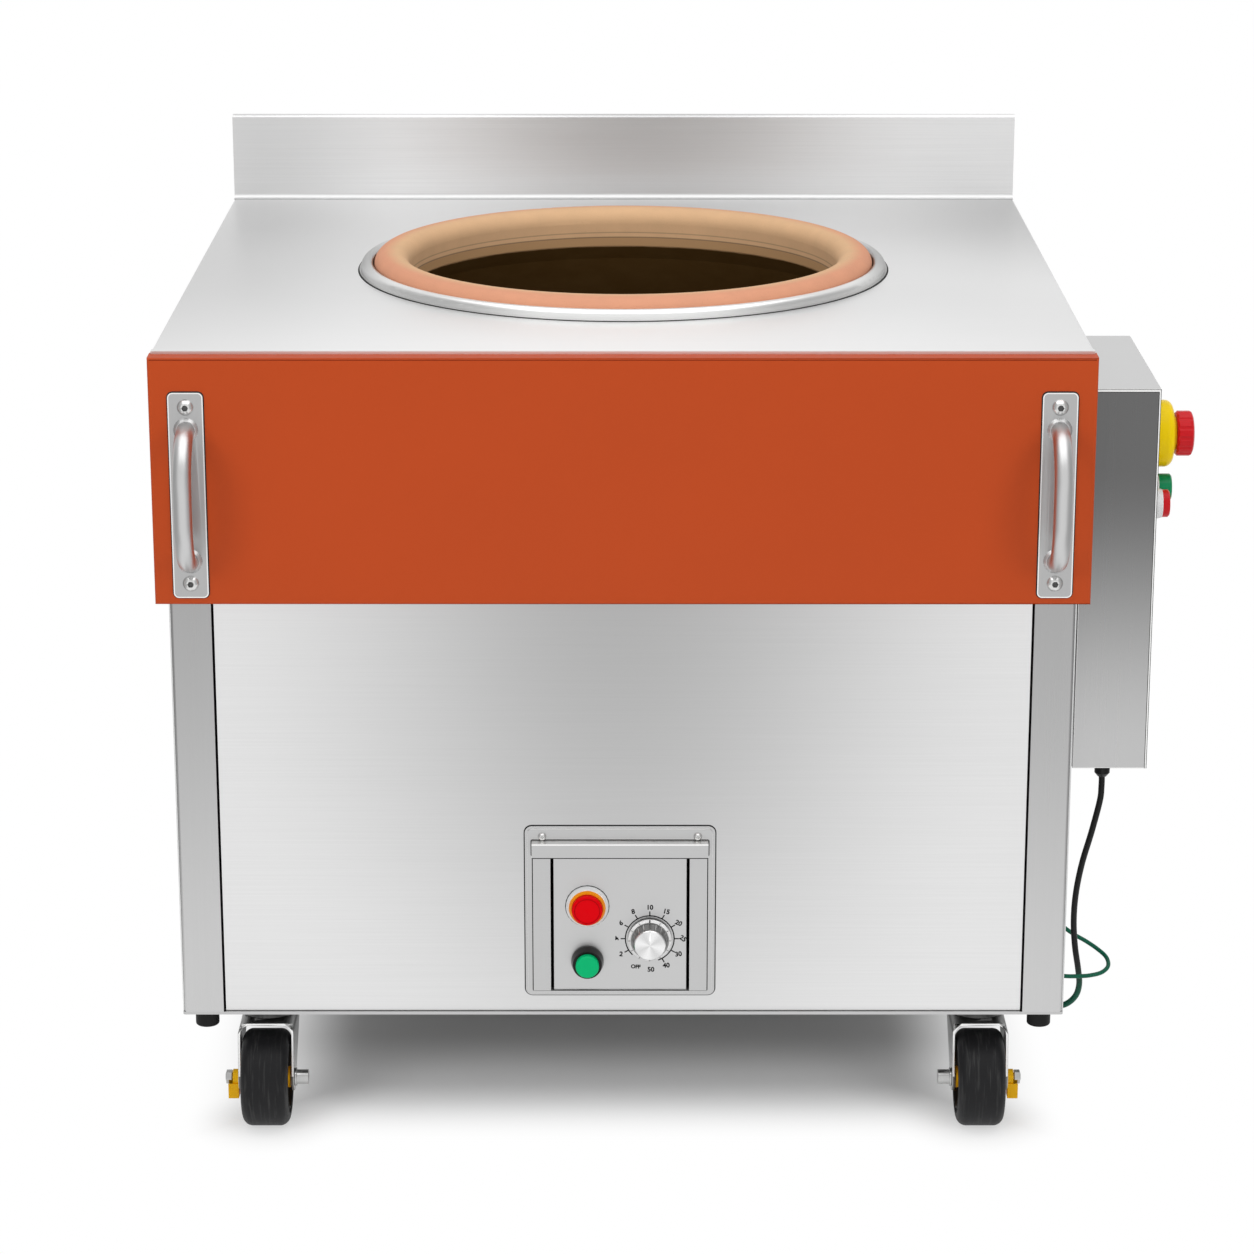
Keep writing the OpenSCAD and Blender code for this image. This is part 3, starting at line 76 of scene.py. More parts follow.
class Facing(Enum):
    """The side that a piece faces, as the direction out of its face."""

    FRONT = (0.0, -1.0, 0.0)
    RIGHT = (1.0, 0.0, 0.0)
    TOP = (0.0, 0.0, 1.0)

    def matrix(self, centre: Vector) -> Matrix:
        """Moves a form from the origin to a centre, with its +Z turned to this side.

        Args:
            centre: Where the form's origin goes, in metres.

        Returns:
            The transform.
        """
        if self is Facing.TOP:
            return Matrix.Translation(centre)
        turn = Matrix.Rotation(math.radians(90), 4, "X" if self is Facing.FRONT else "Y")
        return Matrix.Translation(centre) @ turn


class Extent:
    """The box of a CAD node at rest: its corners and middle in metres, its size in millimetres."""

    def __init__(self, node: str) -> None:
        """Takes the box of a node.

        Args:
            node: The CAD node.
        """
        self.low, self.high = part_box(node)
        self.middle = (self.low + self.high) / 2
        self.size = (self.high - self.low) / MM


FASCIA = Extent("fascia")
# The point on the floor under the middle of the fascia's front face.
ORIGIN = Vector((FASCIA.middle.x, FASCIA.low.y, 0.0))


def at(x: float, y: float, z: float) -> Vector:
    """A place in metres from millimetres right of, behind and above ORIGIN."""
    return ORIGIN + Vector((x, y, z)) * MM


# ---- Shader kit ----


class Signal:
    """A shader value that takes part in Python expressions."""

    def __init__(self, kit: "TreeKit", socket: bpy.types.NodeSocket) -> None:
        self.kit = kit
        self.socket = socket

    def _math(self, operation: str, *values: "Signal | float") -> "Signal":
        """Adds one Math node on the values."""
        return self.kit.node("ShaderNodeMath", {"operation": operation}, dict(enumerate(values)))

    def __add__(self, other: "Signal | float") -> "Signal":
        """Sum."""
        return self._math("ADD", self, other)

    __radd__ = __add__

    def __sub__(self, other: "Signal | float") -> "Signal":
        """Difference."""
        return self._math("SUBTRACT", self, other)

    def __rsub__(self, other: "Signal | float") -> "Signal":
        """Difference from a number."""
        return self._math("SUBTRACT", other, self)

    def __mul__(self, other: "Signal | float") -> "Signal":
        """Product."""
        return self._math("MULTIPLY", self, other)

    __rmul__ = __mul__

    def __truediv__(self, other: "Signal | float") -> "Signal":
        """Quotient."""
        return self._math("DIVIDE", self, other)

    def pick(self, output: str) -> "Signal":
        """Another output of the same node."""
        return Signal(self.kit, self.socket.node.outputs[output])

    def step(self, low: float, high: float) -> "Signal":
        """A smooth step from 0 at low to 1 at high.

        Args:
            low: Value at which the step starts.
            high: Value at which the step ends.

        Returns:
            The stepped value.
        """
        inputs = {"Value": self, "From Min": low, "From Max": high}
        return self.kit.node("ShaderNodeMapRange", {"interpolation_type": "SMOOTHSTEP"}, inputs)

    def power(self, exponent: float) -> "Signal":
        """The value raised to an exponent."""
        return self._math("POWER", self, exponent)

    def greatest(self, other: "Signal | float") -> "Signal":
        """The greater of two values."""
        return self._math("MAXIMUM", self, other)

    def size(self) -> "Signal":
        """The value without its sign."""
        return self._math("ABSOLUTE", self)

    def near(self, core_mm: float, fringe_mm: float) -> "Signal":
        """1 where the value is within the core of zero, and 0 beyond the fringe."""
        return 1.0 - self.size().step(core_mm * MM, fringe_mm * MM)

    def wave(self, kind: str) -> "Signal":
        """SINE or COSINE of the value."""
        return self._math(kind, self)


class TreeKit:
    """Builds one node tree, of a material, of the world or of geometry."""

    def __init__(self, tree: bpy.types.NodeTree) -> None:
        """Starts from an emptied tree."""
        self.tree = tree
        tree.nodes.clear()

    def node(self, kind: str, settings: dict, inputs: dict, output: int | str = 0) -> Signal:
        """Adds a node.

        Args:
            kind: The node's type.
            settings: Its properties, set first.
            inputs: Values or signals by the socket's name or index.
            output: The output to return.

        Returns:
            The chosen output.
        """
        made = self.tree.nodes.new(kind)
        for key, value in settings.items():
            setattr(made, key, value)
        for key, value in inputs.items():
            socket = made.inputs[key]
            if isinstance(value, Signal):
                self.tree.links.new(value.socket, socket)
            elif isinstance(value, tuple) and socket.type == "RGBA":
                socket.default_value = (*value, 1.0)
            else:
                socket.default_value = value
        return Signal(self, made.outputs[output] if made.outputs else None)

    def place(self) -> Signal:
        """Object coordinates."""
        return self.node("ShaderNodeTexCoord", {}, {}, "Object")

    def axes(self, shift: Vector) -> tuple[Signal, Signal, Signal]:
        """Object coordinates less a shift.

        Args:
            shift: The place that becomes zero, in metres.

        Returns:
            The three values.
        """
        inputs = {0: self.place(), 1: shift}
        moved = self.node("ShaderNodeVectorMath", {"operation": "SUBTRACT"}, inputs)
        parts = self.node("ShaderNodeSeparateXYZ", {}, {0: moved})
        return parts, parts.pick("Y"), parts.pick("Z")

    @staticmethod
    def length(*parts: Signal) -> Signal:
        """The length of the arrow that has these parts."""
        squares = [part.power(2.0) for part in parts]
        return sum(squares[1:], squares[0]).power(0.5)

    def noise(self, scale: float | Point, detail: float = 2.0) -> Signal:
        """Noise around 0.5 on Object coordinates.

        Args:
            scale: Cells in a metre, the same or one for each axis.
            detail: Octaves of finer noise.

        Returns:
            The noise.
        """
        scales = scale if isinstance(scale, tuple) else (scale,) * 3
        stretched = self.node("ShaderNodeMapping", {}, {"Vector": self.place(), "Scale": scales})
        values = {"Vector": stretched, "Scale": 1.0, "Detail": detail, "Roughness": 0.55}
        return self.node("ShaderNodeTexNoise", {}, values, "Fac")

    def mix(
        self,
        share: Signal | float,
        first: Signal | Colour,
        second: Signal | Colour,
        blend: str = "MIX",
    ) -> Signal:
        """A colour between two colours, or another blend of them."""
        settings = {"data_type": "RGBA", "blend_type": blend}
        return self.node("ShaderNodeMix", settings, {0: share, 6: first, 7: second}, 2)

    def shade(self, colour: Signal | Colour, value: Signal) -> Signal:
        """A colour multiplied by a value."""
        grey = self.node("ShaderNodeCombineColor", {}, {0: value, 1: value, 2: value})
        return self.mix(1.0, colour, grey, "MULTIPLY")

    def bump(self, height: Signal, depth: float, strength: float) -> Signal:
        """A normal bent by a height, whose full range is depth metres."""
        inputs = {"Height": height, "Distance": depth, "Strength": strength}
        return self.node("ShaderNodeBump", {}, inputs)

    def surface(self, **sockets: Signal | float | Colour) -> None:
        """Ends a material in a Principled shader.

        Args:
            **sockets: Values or signals by the socket's name, with _ for each space.
        """
        inputs = {key.replace("_", " "): value for key, value in sockets.items()}
        shader = self.node("ShaderNodeBsdfPrincipled", {}, inputs)
        self.node("ShaderNodeOutputMaterial", {}, {"Surface": shader})


@dataclass(frozen=True)
class Finish:
    """The finish of a surface. Each kind of finish fills in its own shader tree."""

    name: str

    def build(self, kit: TreeKit) -> None:
        """Fills the tree of the finish's material, which a kit builds."""
        raise NotImplementedError

    def material(self) -> bpy.types.Material:
        """Makes the finish's material, or finds it.

        Returns:
            The material.
        """
        made = bpy.data.materials.get(self.name)
        if made is None:
            made = bpy.data.materials.new(self.name)
            made.use_nodes = True
            self.build(TreeKit(made.node_tree))
        return made


@dataclass(frozen=True)
class PaintedPool:
    """A broad area of painted light or shade on a sheet: its tone is raised or lowered there.

    Attributes:
        middle: Its middle, in millimetres as at() takes it.
        reach: Its half sizes, in millimetres.
        gain: How much lighter its middle is, or darker where it is negative.
    """

    middle: Point
    reach: Point
    gain: float

    def share(self, kit: TreeKit) -> Signal:
        """Works out how much the area changes the tone.


        Returns:
            The factor on the tone.
        """
        parts = zip(kit.axes(at(*self.middle)), self.reach)
        distance = kit.length(*(part / (size * MM) for part, size in parts))
        return 1.0 + (1.0 - distance.step(0.0, 1.0)) * self.gain


@dataclass(frozen=True)
class BrushedSteel(Finish):
    """Satin stainless steel with fine straight grain.

    Attributes:
        tone: Share of the light that it throws back.
        roughness: Mean roughness.
        grain: Direction of the brushing.
        grain_depth: How much the grain changes the tone.
        pools: Broad areas of painted light or shade.
        ramp: Painted shade by height: height in millimetres and share of the tone, low and then
            high, or None.
    """

    tone: float = 0.62
    roughness: float = 0.3
    grain: Grain = Grain.ACROSS
    grain_depth: float = 0.06
    pools: tuple[PaintedPool, ...] = ()
    ramp: tuple[float, float, float, float] | None = None

    LINES_ALONG = 5.0
    LINES_OVER = 640.0

    def build(self, kit: TreeKit) -> None:
        """Fills the tree."""
        lines = [self.LINES_OVER] * 3
        lines[self.grain.value] = self.LINES_ALONG
        fine = kit.noise(tuple(lines), 3.0) - 0.5
        broad = kit.noise(3.0, 1.0) - 0.5
        tone = self.tone * (1.0 + fine * self.grain_depth * 2.0 + broad * 0.08)
        # Painted light and shade: each pool raises or lowers the tone.
        for pool in self.pools:
            tone = tone * pool.share(kit)
        # Painted shade: the tone changes with height.
        if self.ramp is not None:
            low_z, low_share, high_z, high_share = self.ramp
            height = kit.axes(ORIGIN)[2].step(low_z * MM, high_z * MM)
            tone = tone * (low_share + height * (high_share - low_share))
        kit.surface(
            Base_Color=kit.shade((1.0, 1.0, 1.0), tone),
            Metallic=1.0,
            Roughness=self.roughness + fine * 0.14 + broad * 0.06,
            Normal=kit.bump(fine, 0.00003, 0.5),
        )


@dataclass(frozen=True)
class PolishedSteel(Finish):
    """Bright smooth steel or zinc, with a little cloudiness.

    Attributes:
        tone: Share of the light that it throws back.
        roughness: Mean roughness.
        cloud: How much the clouds change both.
        pools: Broad areas of painted light or shade.
    """

    tone: float = 0.85
    roughness: float = 0.12
    cloud: float = 0.1
    pools: tuple[PaintedPool, ...] = ()

    CLOUDS = 60.0

    def build(self, kit: TreeKit) -> None:
        """Fills the tree."""
        cloud = (kit.noise(self.CLOUDS) - 0.5) * self.cloud
        tone = self.tone * (1.0 + cloud)
        # Painted light and shade: each pool raises or lowers the tone.
        for pool in self.pools:
            tone = tone * pool.share(kit)
        kit.surface(
            Base_Color=kit.shade((1.0, 1.0, 0.99), tone),
            Metallic=1.0,
            Roughness=self.roughness + cloud,
        )


@dataclass(frozen=True)
class PowderCoat(Finish):
    """Satin powder coat with a faint orange peel."""

    colour: Colour = (0.49, 0.062, 0.0085)
    roughness: float = 0.5
    specular: float = 0.22

    def build(self, kit: TreeKit) -> None:
        """Fills the tree."""
        peel = kit.noise(420.0, 1.0) - 0.5
        patch = (kit.noise(5.0) - 0.5) * 0.08
        kit.surface(
            Base_Color=kit.shade(self.colour, 1.0 + patch + peel * 0.03),
            Roughness=self.roughness + patch,
            Specular_IOR_Level=self.specular,
            Normal=kit.bump(peel, 0.00004, 0.35),
        )


@dataclass(frozen=True)
class Clay(Finish):
    """Fired clay with grit, pits and soft mottling.

    Attributes:
        outer: Colour of the rim's outer roll.
        inner: Colour towards the mouth.
        change_mm: Distances from the outer edge between which they change.
        joint_mm: Half widths of the dark joint at the foot, full and faded.
        groove_mm: Height of the groove above that joint.
        cut_mm: Half widths of the groove, full and faded.
    """

    outer: Colour = (0.7, 0.32, 0.19)
    inner: Colour = (0.72, 0.45, 0.25)
    change_mm: tuple[float, float] = (26.0, 8.0)
    joint_mm: tuple[float, float] = (0.6, 1.8)
    groove_mm: float = 6.0
    cut_mm: tuple[float, float] = (0.3, 1.0)

    def build(self, kit: TreeKit) -> None:
        """Fills the tree."""
        rim = Extent("clay_rim")
        x, y, z = kit.axes(Vector((rim.middle.x, rim.middle.y, rim.high.z)))
        mottle = kit.noise(38.0, 3.0) - 0.5
        grit = kit.noise(900.0)
        edge, (first, last) = rim.size.x / 2, self.change_mm
        share = (kit.length(x, y) + mottle * 0.006).step((edge - first) * MM, (edge - last) * MM)
        foot = z - (Extent("clay_pot").high.z - rim.high.z)
        joint = foot.near(*self.joint_mm)
        groove = (foot - self.groove_mm * MM).near(*self.cut_mm)
        specks = grit.step(0.62, 0.74)
        wear = 1.0 + mottle * 0.16 - specks * 0.13 - joint * 0.6 - groove * 0.3
        kit.surface(
            Base_Color=kit.shade(kit.mix(share, self.inner, self.outer), wear),
            Roughness=0.8 + mottle * 0.1,
            Normal=kit.bump(grit + mottle * 2.0, 0.00025, 0.6),
        )


@dataclass(frozen=True)
class PotClay(Finish):
    """Clay of the pot: pale at its neck and dark brown below it inside.

    Attributes:
        pale: Colour of the neck.
        deep_colour: Darkest colour inside.
        brown: Lightest colour inside.
        fade_mm: Depths below the pot's top between which they change.
    """

    pale: Colour = (0.5, 0.3, 0.15)
    deep_colour: Colour = (0.07, 0.034, 0.008)
    brown: Colour = (0.1, 0.055, 0.018)
    fade_mm: tuple[float, float] = (11.0, 9.5)

    def build(self, kit: TreeKit) -> None:
        """Fills the tree."""
        z = kit.axes(Vector((0.0, 0.0, Extent("clay_pot").high.z)))[2]
        mottle = kit.noise((30.0, 30.0, 55.0), 3.0) - 0.5
        deep, shallow = self.fade_mm
        share = (z + mottle * 0.002).step(-deep * MM, -shallow * MM)
        inside = kit.mix(mottle + 0.5, self.deep_colour, self.brown)
        kit.surface(
            Base_Color=kit.mix(share, inside, self.pale),
            Roughness=0.85 + mottle * 0.1,
            Specular_IOR_Level=0.04,
            Normal=kit.bump(mottle, 0.001, 0.4),
        )


@dataclass(frozen=True)
class Plastic(Finish):
    """Moulded plastic or enamel with a fine texture."""

    colour: Colour = (0.02, 0.02, 0.02)
    roughness: float = 0.3
    specular: float = 0.3

    def build(self, kit: TreeKit) -> None:
        """Fills the tree."""
        fine = kit.noise(1400.0, 1.0) - 0.5
        broad = kit.noise(60.0, 1.0) - 0.5
        kit.surface(
            Base_Color=kit.shade(self.colour, 1.0 + broad * 0.06),
            Roughness=self.roughness + fine * 0.08,
            Specular_IOR_Level=self.specular,
            Normal=kit.bump(fine, 0.00002, 0.3),
        )


@dataclass(frozen=True)
class Rubber(Finish):
    """Black rubber with scuffed streaks along its tread."""

    colour: Colour = (0.016, 0.016, 0.017)
    scuff: float = 0.0
    scuffed: Colour = (0.09, 0.09, 0.088)

    def build(self, kit: TreeKit) -> None:
        """Fills the tree."""
        fine = kit.noise(700.0) - 0.5
        streak = kit.noise((420.0, 30.0, 30.0), 3.0).step(0.5, 0.75)
        kit.surface(
            Base_Color=kit.mix(streak * self.scuff, self.colour, self.scuffed),
            Roughness=0.55 + fine * 0.2,
            Specular_IOR_Level=0.25,
            Normal=kit.bump(fine, 0.0001, 0.4),
        )


@dataclass(frozen=True)
class SpunFace(Finish):
    """Aluminium face turned on a lathe: fine rings, and soft bright wedges by angle painted in as
    the spun metal's sheen.
    """

    centre: Point = (0.0, 0.0, 0.0)
    sheen_sectors: float = 4.0
    tone: float = 0.8

    def build(self, kit: TreeKit) -> None:
        """Fills the tree."""
        x, _, z = kit.axes(Vector(self.centre))
        angle = kit.node("ShaderNodeMath", {"operation": "ARCTAN2"}, {0: x, 1: z})
        # Painted sheen: the tone rises and falls with the angle round the face.
        wave = (angle * self.sheen_sectors + 0.6).wave("SINE")
        rings = (kit.length(x, z) * 21000.0).wave("SINE")
        kit.surface(
            Base_Color=kit.shade((1.0, 1.0, 1.0), self.tone + wave * 0.1 + rings * 0.02),
            Metallic=1.0,
            Roughness=0.28 + rings * 0.05,
            Normal=kit.bump(rings, 0.00002, 0.3),
        )


@dataclass(frozen=True)
class LeadSheath(Finish):
    """Sheath of a lead: one colour, or two that change along its length.

    Attributes:
        colour: Colour at the start.
        tail: Colour at the end.
        change: Where the colour changes, as shares of the length.
    """

    colour: Colour
    tail: Colour
    change: tuple[float, float] = (0.99, 1.0)

    def build(self, kit: TreeKit) -> None:
        """Fills the tree."""
        along = kit.node("ShaderNodeUVMap", {"uv_map": "route"}, {})
        share = kit.node("ShaderNodeSeparateXYZ", {}, {0: along}, "Y").step(*self.change)
        fine = kit.noise(900.0) - 0.5
        kit.surface(
            Base_Color=kit.shade(kit.mix(share, self.colour, self.tail), 1.0 + fine * 0.2),
            Roughness=0.38 + fine * 0.15,
            Specular_IOR_Level=0.25,
            Normal=kit.bump(fine, 0.00005, 0.4),
        )


@dataclass(frozen=True)
class Fibre(Finish):
    """Matte mineral wool or firebrick."""

    colour: Colour
    scale: float = 220.0

    def build(self, kit: TreeKit) -> None:
        """Fills the tree."""
        fine = kit.noise((self.scale, self.scale, self.scale * 0.3), 4.0) - 0.5
        kit.surface(
            Base_Color=kit.shade(self.colour, 1.0 + fine * 0.5),
            Roughness=0.9 + fine * 0.1,
            Normal=kit.bump(fine, 0.0008, 0.6),
        )


@dataclass(frozen=True)
class EdgePair:
    """Finishes of the broken edges of sheet steel: painted highlight and painted shade, lit and
    shaded copies of the steel.

    Attributes:
        lit: Painted highlight, where the edge catches the light.
        turned: Painted shade, where it faces sideways or down.
    """

    lit: Finish
    turned: Finish

    SLOT = 1
    SIDEWAYS = 0.8
    DOWN = -0.45

    def is_shaded_edge(self, face: bpy.types.MeshPolygon) -> bool:
        """Whether a face belongs to a part of a broken edge that takes the painted shade."""
        away = abs(face.normal.x) > self.SIDEWAYS or face.normal.z < self.DOWN
        return face.material_index == self.SLOT and away


# ---- Mesh kit ----


def add_object(name: str, data: bpy.types.ID) -> bpy.types.Object:
    """Adds an object to the scene.

    Args:
        name: Its name.
        data: Its mesh, curve, lamp or camera.

    Returns:
        The object.
    """
    made = bpy.data.objects.new(name, data)
    bpy.context.scene.collection.objects.link(made)
    return made


def evaluated(holder: bpy.types.Object) -> bpy.types.Mesh:
    """The mesh of an object as its modifiers leave it."""
    graph = bpy.context.evaluated_depsgraph_get()
    return bpy.data.meshes.new_from_object(holder.evaluated_get(graph))


def absorb(form: bmesh.types.BMesh, mesh: bpy.types.Mesh) -> None:
    """Adds a mesh to a form and removes the mesh."""
    form.from_mesh(mesh)
    bpy.data.meshes.remove(mesh)


def mesh_of(
    name: str, form: bmesh.types.BMesh, sharp_deg: float | None = SHARP_DEG
) -> bpy.types.Mesh:
    """Turns a form into a mesh and frees the form.

    Args:
        name: The mesh's name.
        form: The form.
        sharp_deg: Angle above which edges stay sharp in smooth shading, or None for flat shading.

    Returns:
        The mesh.
    """
    mesh = bpy.data.meshes.new(name)
    form.to_mesh(mesh)
    form.free()
    if sharp_deg is not None:
        mesh.shade_smooth()
        mesh.set_sharp_from_angle(angle=math.radians(sharp_deg))
    return mesh


class CopyRing:
    """Geometry Nodes tree that sets copies of a piece round the Z axis, clockwise from the top."""

    SOCKETS = {
        "Piece": "NodeSocketGeometry",
        "Copies": "NodeSocketInt",
        "Radius": "NodeSocketFloat",
        "Start": "NodeSocketFloat",
        "Step": "NodeSocketFloat",
        "Finish": "NodeSocketMaterial",
    }

    def __init__(self) -> None:
        """Builds the tree."""
        self.tree = bpy.data.node_groups.new("copy ring", "GeometryNodeTree")
        for name, kind in self.SOCKETS.items():
            self.tree.interface.new_socket(name=name, in_out="INPUT", socket_type=kind)
        self.tree.interface.new_socket(
            name="Ring", in_out="OUTPUT", socket_type="NodeSocketGeometry"
        )
        kit = TreeKit(self.tree)
        source = kit.node("NodeGroupInput", {}, {}, "Piece")
        index = kit.node("GeometryNodeInputIndex", {}, {})
        angle = source.pick("Start") + index * source.pick("Step")
        reach = source.pick("Radius")
        sides = {0: angle.wave("SINE") * reach, 1: angle.wave("COSINE") * reach}
        spot = kit.node("ShaderNodeCombineXYZ", {}, sides)
        turn = kit.node("ShaderNodeCombineXYZ", {}, {2: angle * -1.0})
        line = kit.node("GeometryNodeMeshLine", {}, {"Count": source.pick("Copies")})
        points = kit.node("GeometryNodeSetPosition", {}, {"Geometry": line, "Position": spot})
        copied = {"Points": points, "Instance": source, "Rotation": turn}
        copies = kit.node("GeometryNodeInstanceOnPoints", {}, copied)
        real = kit.node("GeometryNodeRealizeInstances", {}, {"Geometry": copies})
        dressed = {"Geometry": real, "Material": source.pick("Finish")}
        kit.node("NodeGroupOutput", {}, {"Ring": kit.node("GeometryNodeSetMaterial", {}, dressed)})

    def mesh(
        self,
        form: bmesh.types.BMesh,
        finish: Finish,
        copies: int,
        radius_mm: float,
        step_deg: float,
        start_deg: float = 0.0,
    ) -> bpy.types.Mesh:
        """Sets copies of a form round the axis and frees the form.

        Args:
            form: The form at the top of the ring, about the origin, in metres.
            finish: Their finish.
            copies: How many there are.
            radius_mm: Radius of the ring.
            step_deg: Angle between copies.
            start_deg: Angle of the first copy, clockwise from the top.

        Returns:
            A plain mesh of all the copies.
        """
        base = mesh_of("copy", form, None)
        holder = add_object("copy", base)
        ring = holder.modifiers.new("ring", "NODES")
        ring.node_group = self.tree
        values = {
            "Copies": copies,
            "Radius": radius_mm * MM,
            "Start": math.radians(start_deg),
            "Step": math.radians(step_deg),
            "Finish": finish.material(),
        }
        for socket in self.tree.interface.items_tree:
            if socket.in_out == "INPUT" and socket.name in values:
                ring[socket.identifier] = values[socket.name]
        made = evaluated(holder)
        bpy.data.objects.remove(holder)
        bpy.data.meshes.remove(base)
        return made


def link_piece(
    name: str, mesh: bpy.types.Mesh, finish: Finish, node: str
) -> bpy.types.Object:
    """Adds a piece to the scene and lets it ride on the body of a CAD node.

    Args:
        name: The piece's name.
        mesh: Its mesh, in the frame's metres.
        finish: Its finish.
        node: The CAD node.

    Returns:
        The piece's object.
    """
    mesh.materials.clear()
    mesh.materials.append(finish.material())
    piece = add_object(name, mesh)
    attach(piece, BODY_OF[node])
    log.info("%s: %d faces on %s", name, len(mesh.polygons), BODY_OF[node])
    return piece


def lathe(outline: Outline, turns: int = 96) -> bmesh.types.BMesh:
    """Turns an outline round the Z axis into a closed form.

    Args:
        outline: Radius and height of each point in millimetres, from the axis or closed in a ring.
        turns: Steps round the axis.

    Returns:
        The form, in metres, about the origin.
    """
    form = bmesh.new()
    points = [form.verts.new((radius * MM, 0.0, height * MM)) for radius, height in outline]
    for first, second in zip(points, points[1:]):
        form.edges.new((first, second))
    if outline[0][0] > 0.0 and outline[-1][0] > 0.0:
        form.edges.new((points[-1], points[0]))
    turn = {"axis": (0, 0, 1), "angle": math.tau, "steps": turns, "use_merge": True}
    bmesh.ops.spin(form, geom=form.verts[:] + form.edges[:], cent=(0, 0, 0), **turn)
    bmesh.ops.remove_doubles(form, verts=form.verts[:], dist=1e-6)
    bmesh.ops.recalc_face_normals(form, faces=form.faces[:])
    return form


def flat_bar(width_mm: float, length_mm: float) -> bmesh.types.BMesh:
    """A flat bar that runs up from the origin and faces +Z.

    Args:
        width_mm: Its width.
        length_mm: Its length.

    Returns:
        The form, in metres.
    """
    half, tall = width_mm / 2 * MM, length_mm * MM
    form = bmesh.new()
    corners = ((-half, 0.0, 0.0), (half, 0.0, 0.0), (half, tall, 0.0), (-half, tall, 0.0))
    form.faces.new([form.verts.new(corner) for corner in corners])
    return form


def band(
    width_mm: float, height_mm: float, corner_mm: float, line_mm: float, steps: int = 6
) -> bmesh.types.BMesh:
    """A flat line round the outside of a rounded rectangle, which faces +Z.

    Args:
        width_mm: Width of the rectangle.
        height_mm: Its height.
        corner_mm: Radius of its corners.
        line_mm: Width of the line.
        steps: Steps round a corner.

    Returns:
        The form, in metres, about the origin.
    """
    form = bmesh.new()
    rings = []
    for radius in (corner_mm, corner_mm + line_mm):
        ring = []
        for quarter, (side, end) in enumerate(((1, 1), (-1, 1), (-1, -1), (1, -1))):
            x, y = side * (width_mm / 2 - corner_mm), end * (height_mm / 2 - corner_mm)
            for step in range(steps + 1):
                angle = math.radians(90.0 * (quarter + step / steps))
                spot = (x + radius * math.cos(angle), y + radius * math.sin(angle), 0.0)
                ring.append(form.verts.new(Vector(spot) * MM))
        rings.append(ring)
    inner, outer = rings
    for k in range(len(inner)):
        after = (k + 1) % len(inner)
        form.faces.new((inner[k], outer[k], outer[after], inner[after]))
    return form


def round_line(size_mm: float, line_mm: float) -> bmesh.types.BMesh:
    """A flat line round the outside of a circle, which faces +Z."""
    straight_mm = 0.01
    return band(size_mm, size_mm, size_mm / 2 - straight_mm, line_mm)


@dataclass
class LineWork:
    """Fine lines on flat faces gathered in one thin piece, such as print, dark joints that are
    partly painted contact shade, painted shade lines and painted highlights.

    Attributes:
        name: The piece's name.
        finish: Its finish.
        node: CAD node whose body it takes.
        slot: The record's material slot, where it isn't the node's; not used.
        form: What has been gathered.
    """

    name: str
    finish: Finish
    node: str
    slot: str | None = None
    form: bmesh.types.BMesh = field(default_factory=bmesh.new)

    def add(
        self,
        part: bmesh.types.BMesh,
        centre: Sequence[float],
        facing: Facing = Facing.FRONT,
        lift_mm: float = LIFT_MM,
    ) -> "LineWork":
        """Sets a flat form on a face, just clear of it, and frees the form.

        Args:
            part: The form, about the origin, which faces +Z.
            centre: The point of the face where its origin goes.
            facing: The side that the face is on.
            lift_mm: How far the form stands off the face.

        Returns:
            This line work.
        """
        part.transform(facing.matrix(Vector(centre) + Vector(facing.value) * lift_mm * MM))
        absorb(self.form, mesh_of("part", part, None))
        return self

    def build(self) -> bpy.types.Object:
        """Makes the piece."""
        mesh = mesh_of(self.name, self.form, None)
        return link_piece(self.name, mesh, self.finish, self.node)


def turned_piece(
    name: str,
    outline: Outline,
    centre: Vector,
    facing: Facing,
    finish: Finish,
    node: str,
    turns: int = 96,
) -> bpy.types.Object:
    """Makes a turned piece that stands out from a face, on the body of a CAD node.

    Args:
        name: The piece's name.
        outline: Radius and height of each point in millimetres.
        centre: Place of the outline's zero point.
        facing: The side that it faces.
        finish: Its finish.
        node: CAD node whose body it takes.
        turns: Steps round the axis.

    Returns:
        The piece's object.
    """
    form = lathe(outline, turns)
    form.transform(facing.matrix(centre))
    return link_piece(name, mesh_of(name, form), finish, node)


def edge_weights(
    form: bmesh.types.BMesh, width_mm: float, crease_deg: float = 40.0, thin_share: float = 0.4
) -> None:
    """Weighs the sharp edges of a form, so that its thin faces keep some of their width.

    Args:
        form: The form, in metres.
        width_mm: Full width of a broken edge.
        crease_deg: Angle above which an edge is sharp.
        thin_share: Share of a thin face that a broken edge may take.
    """
    layer = form.edges.layers.float.new("bevel_weight_edge")
    for edge in form.edges:
        if len(edge.link_faces) == 2 and edge.calc_face_angle() > math.radians(crease_deg):
            spans = [
                face.calc_area() / max(side.calc_length() for side in face.edges)
                for face in edge.link_faces
            ]
            edge[layer] = min(1.0, thin_share * min(spans) / (width_mm * MM))


def merged_form(node: str, join: float = 2e-6, flat_deg: float = 1.0) -> bmesh.types.BMesh:
    """A copy of a CAD node's mesh with its points joined and its flat faces whole.

    Args:
        node: The CAD node.
        join: Distance in metres under which points are one.
        flat_deg: Angle under which neighbouring faces are one.

    Returns:
        The form, in metres.
    """
    form = bmesh.new()
    form.from_mesh(frame["nodes"][node].data)
    bmesh.ops.remove_doubles(form, verts=form.verts[:], dist=join)
    flat = math.radians(flat_deg)
    bmesh.ops.dissolve_limit(form, angle_limit=flat, verts=form.verts[:], edges=form.edges[:])
    return form


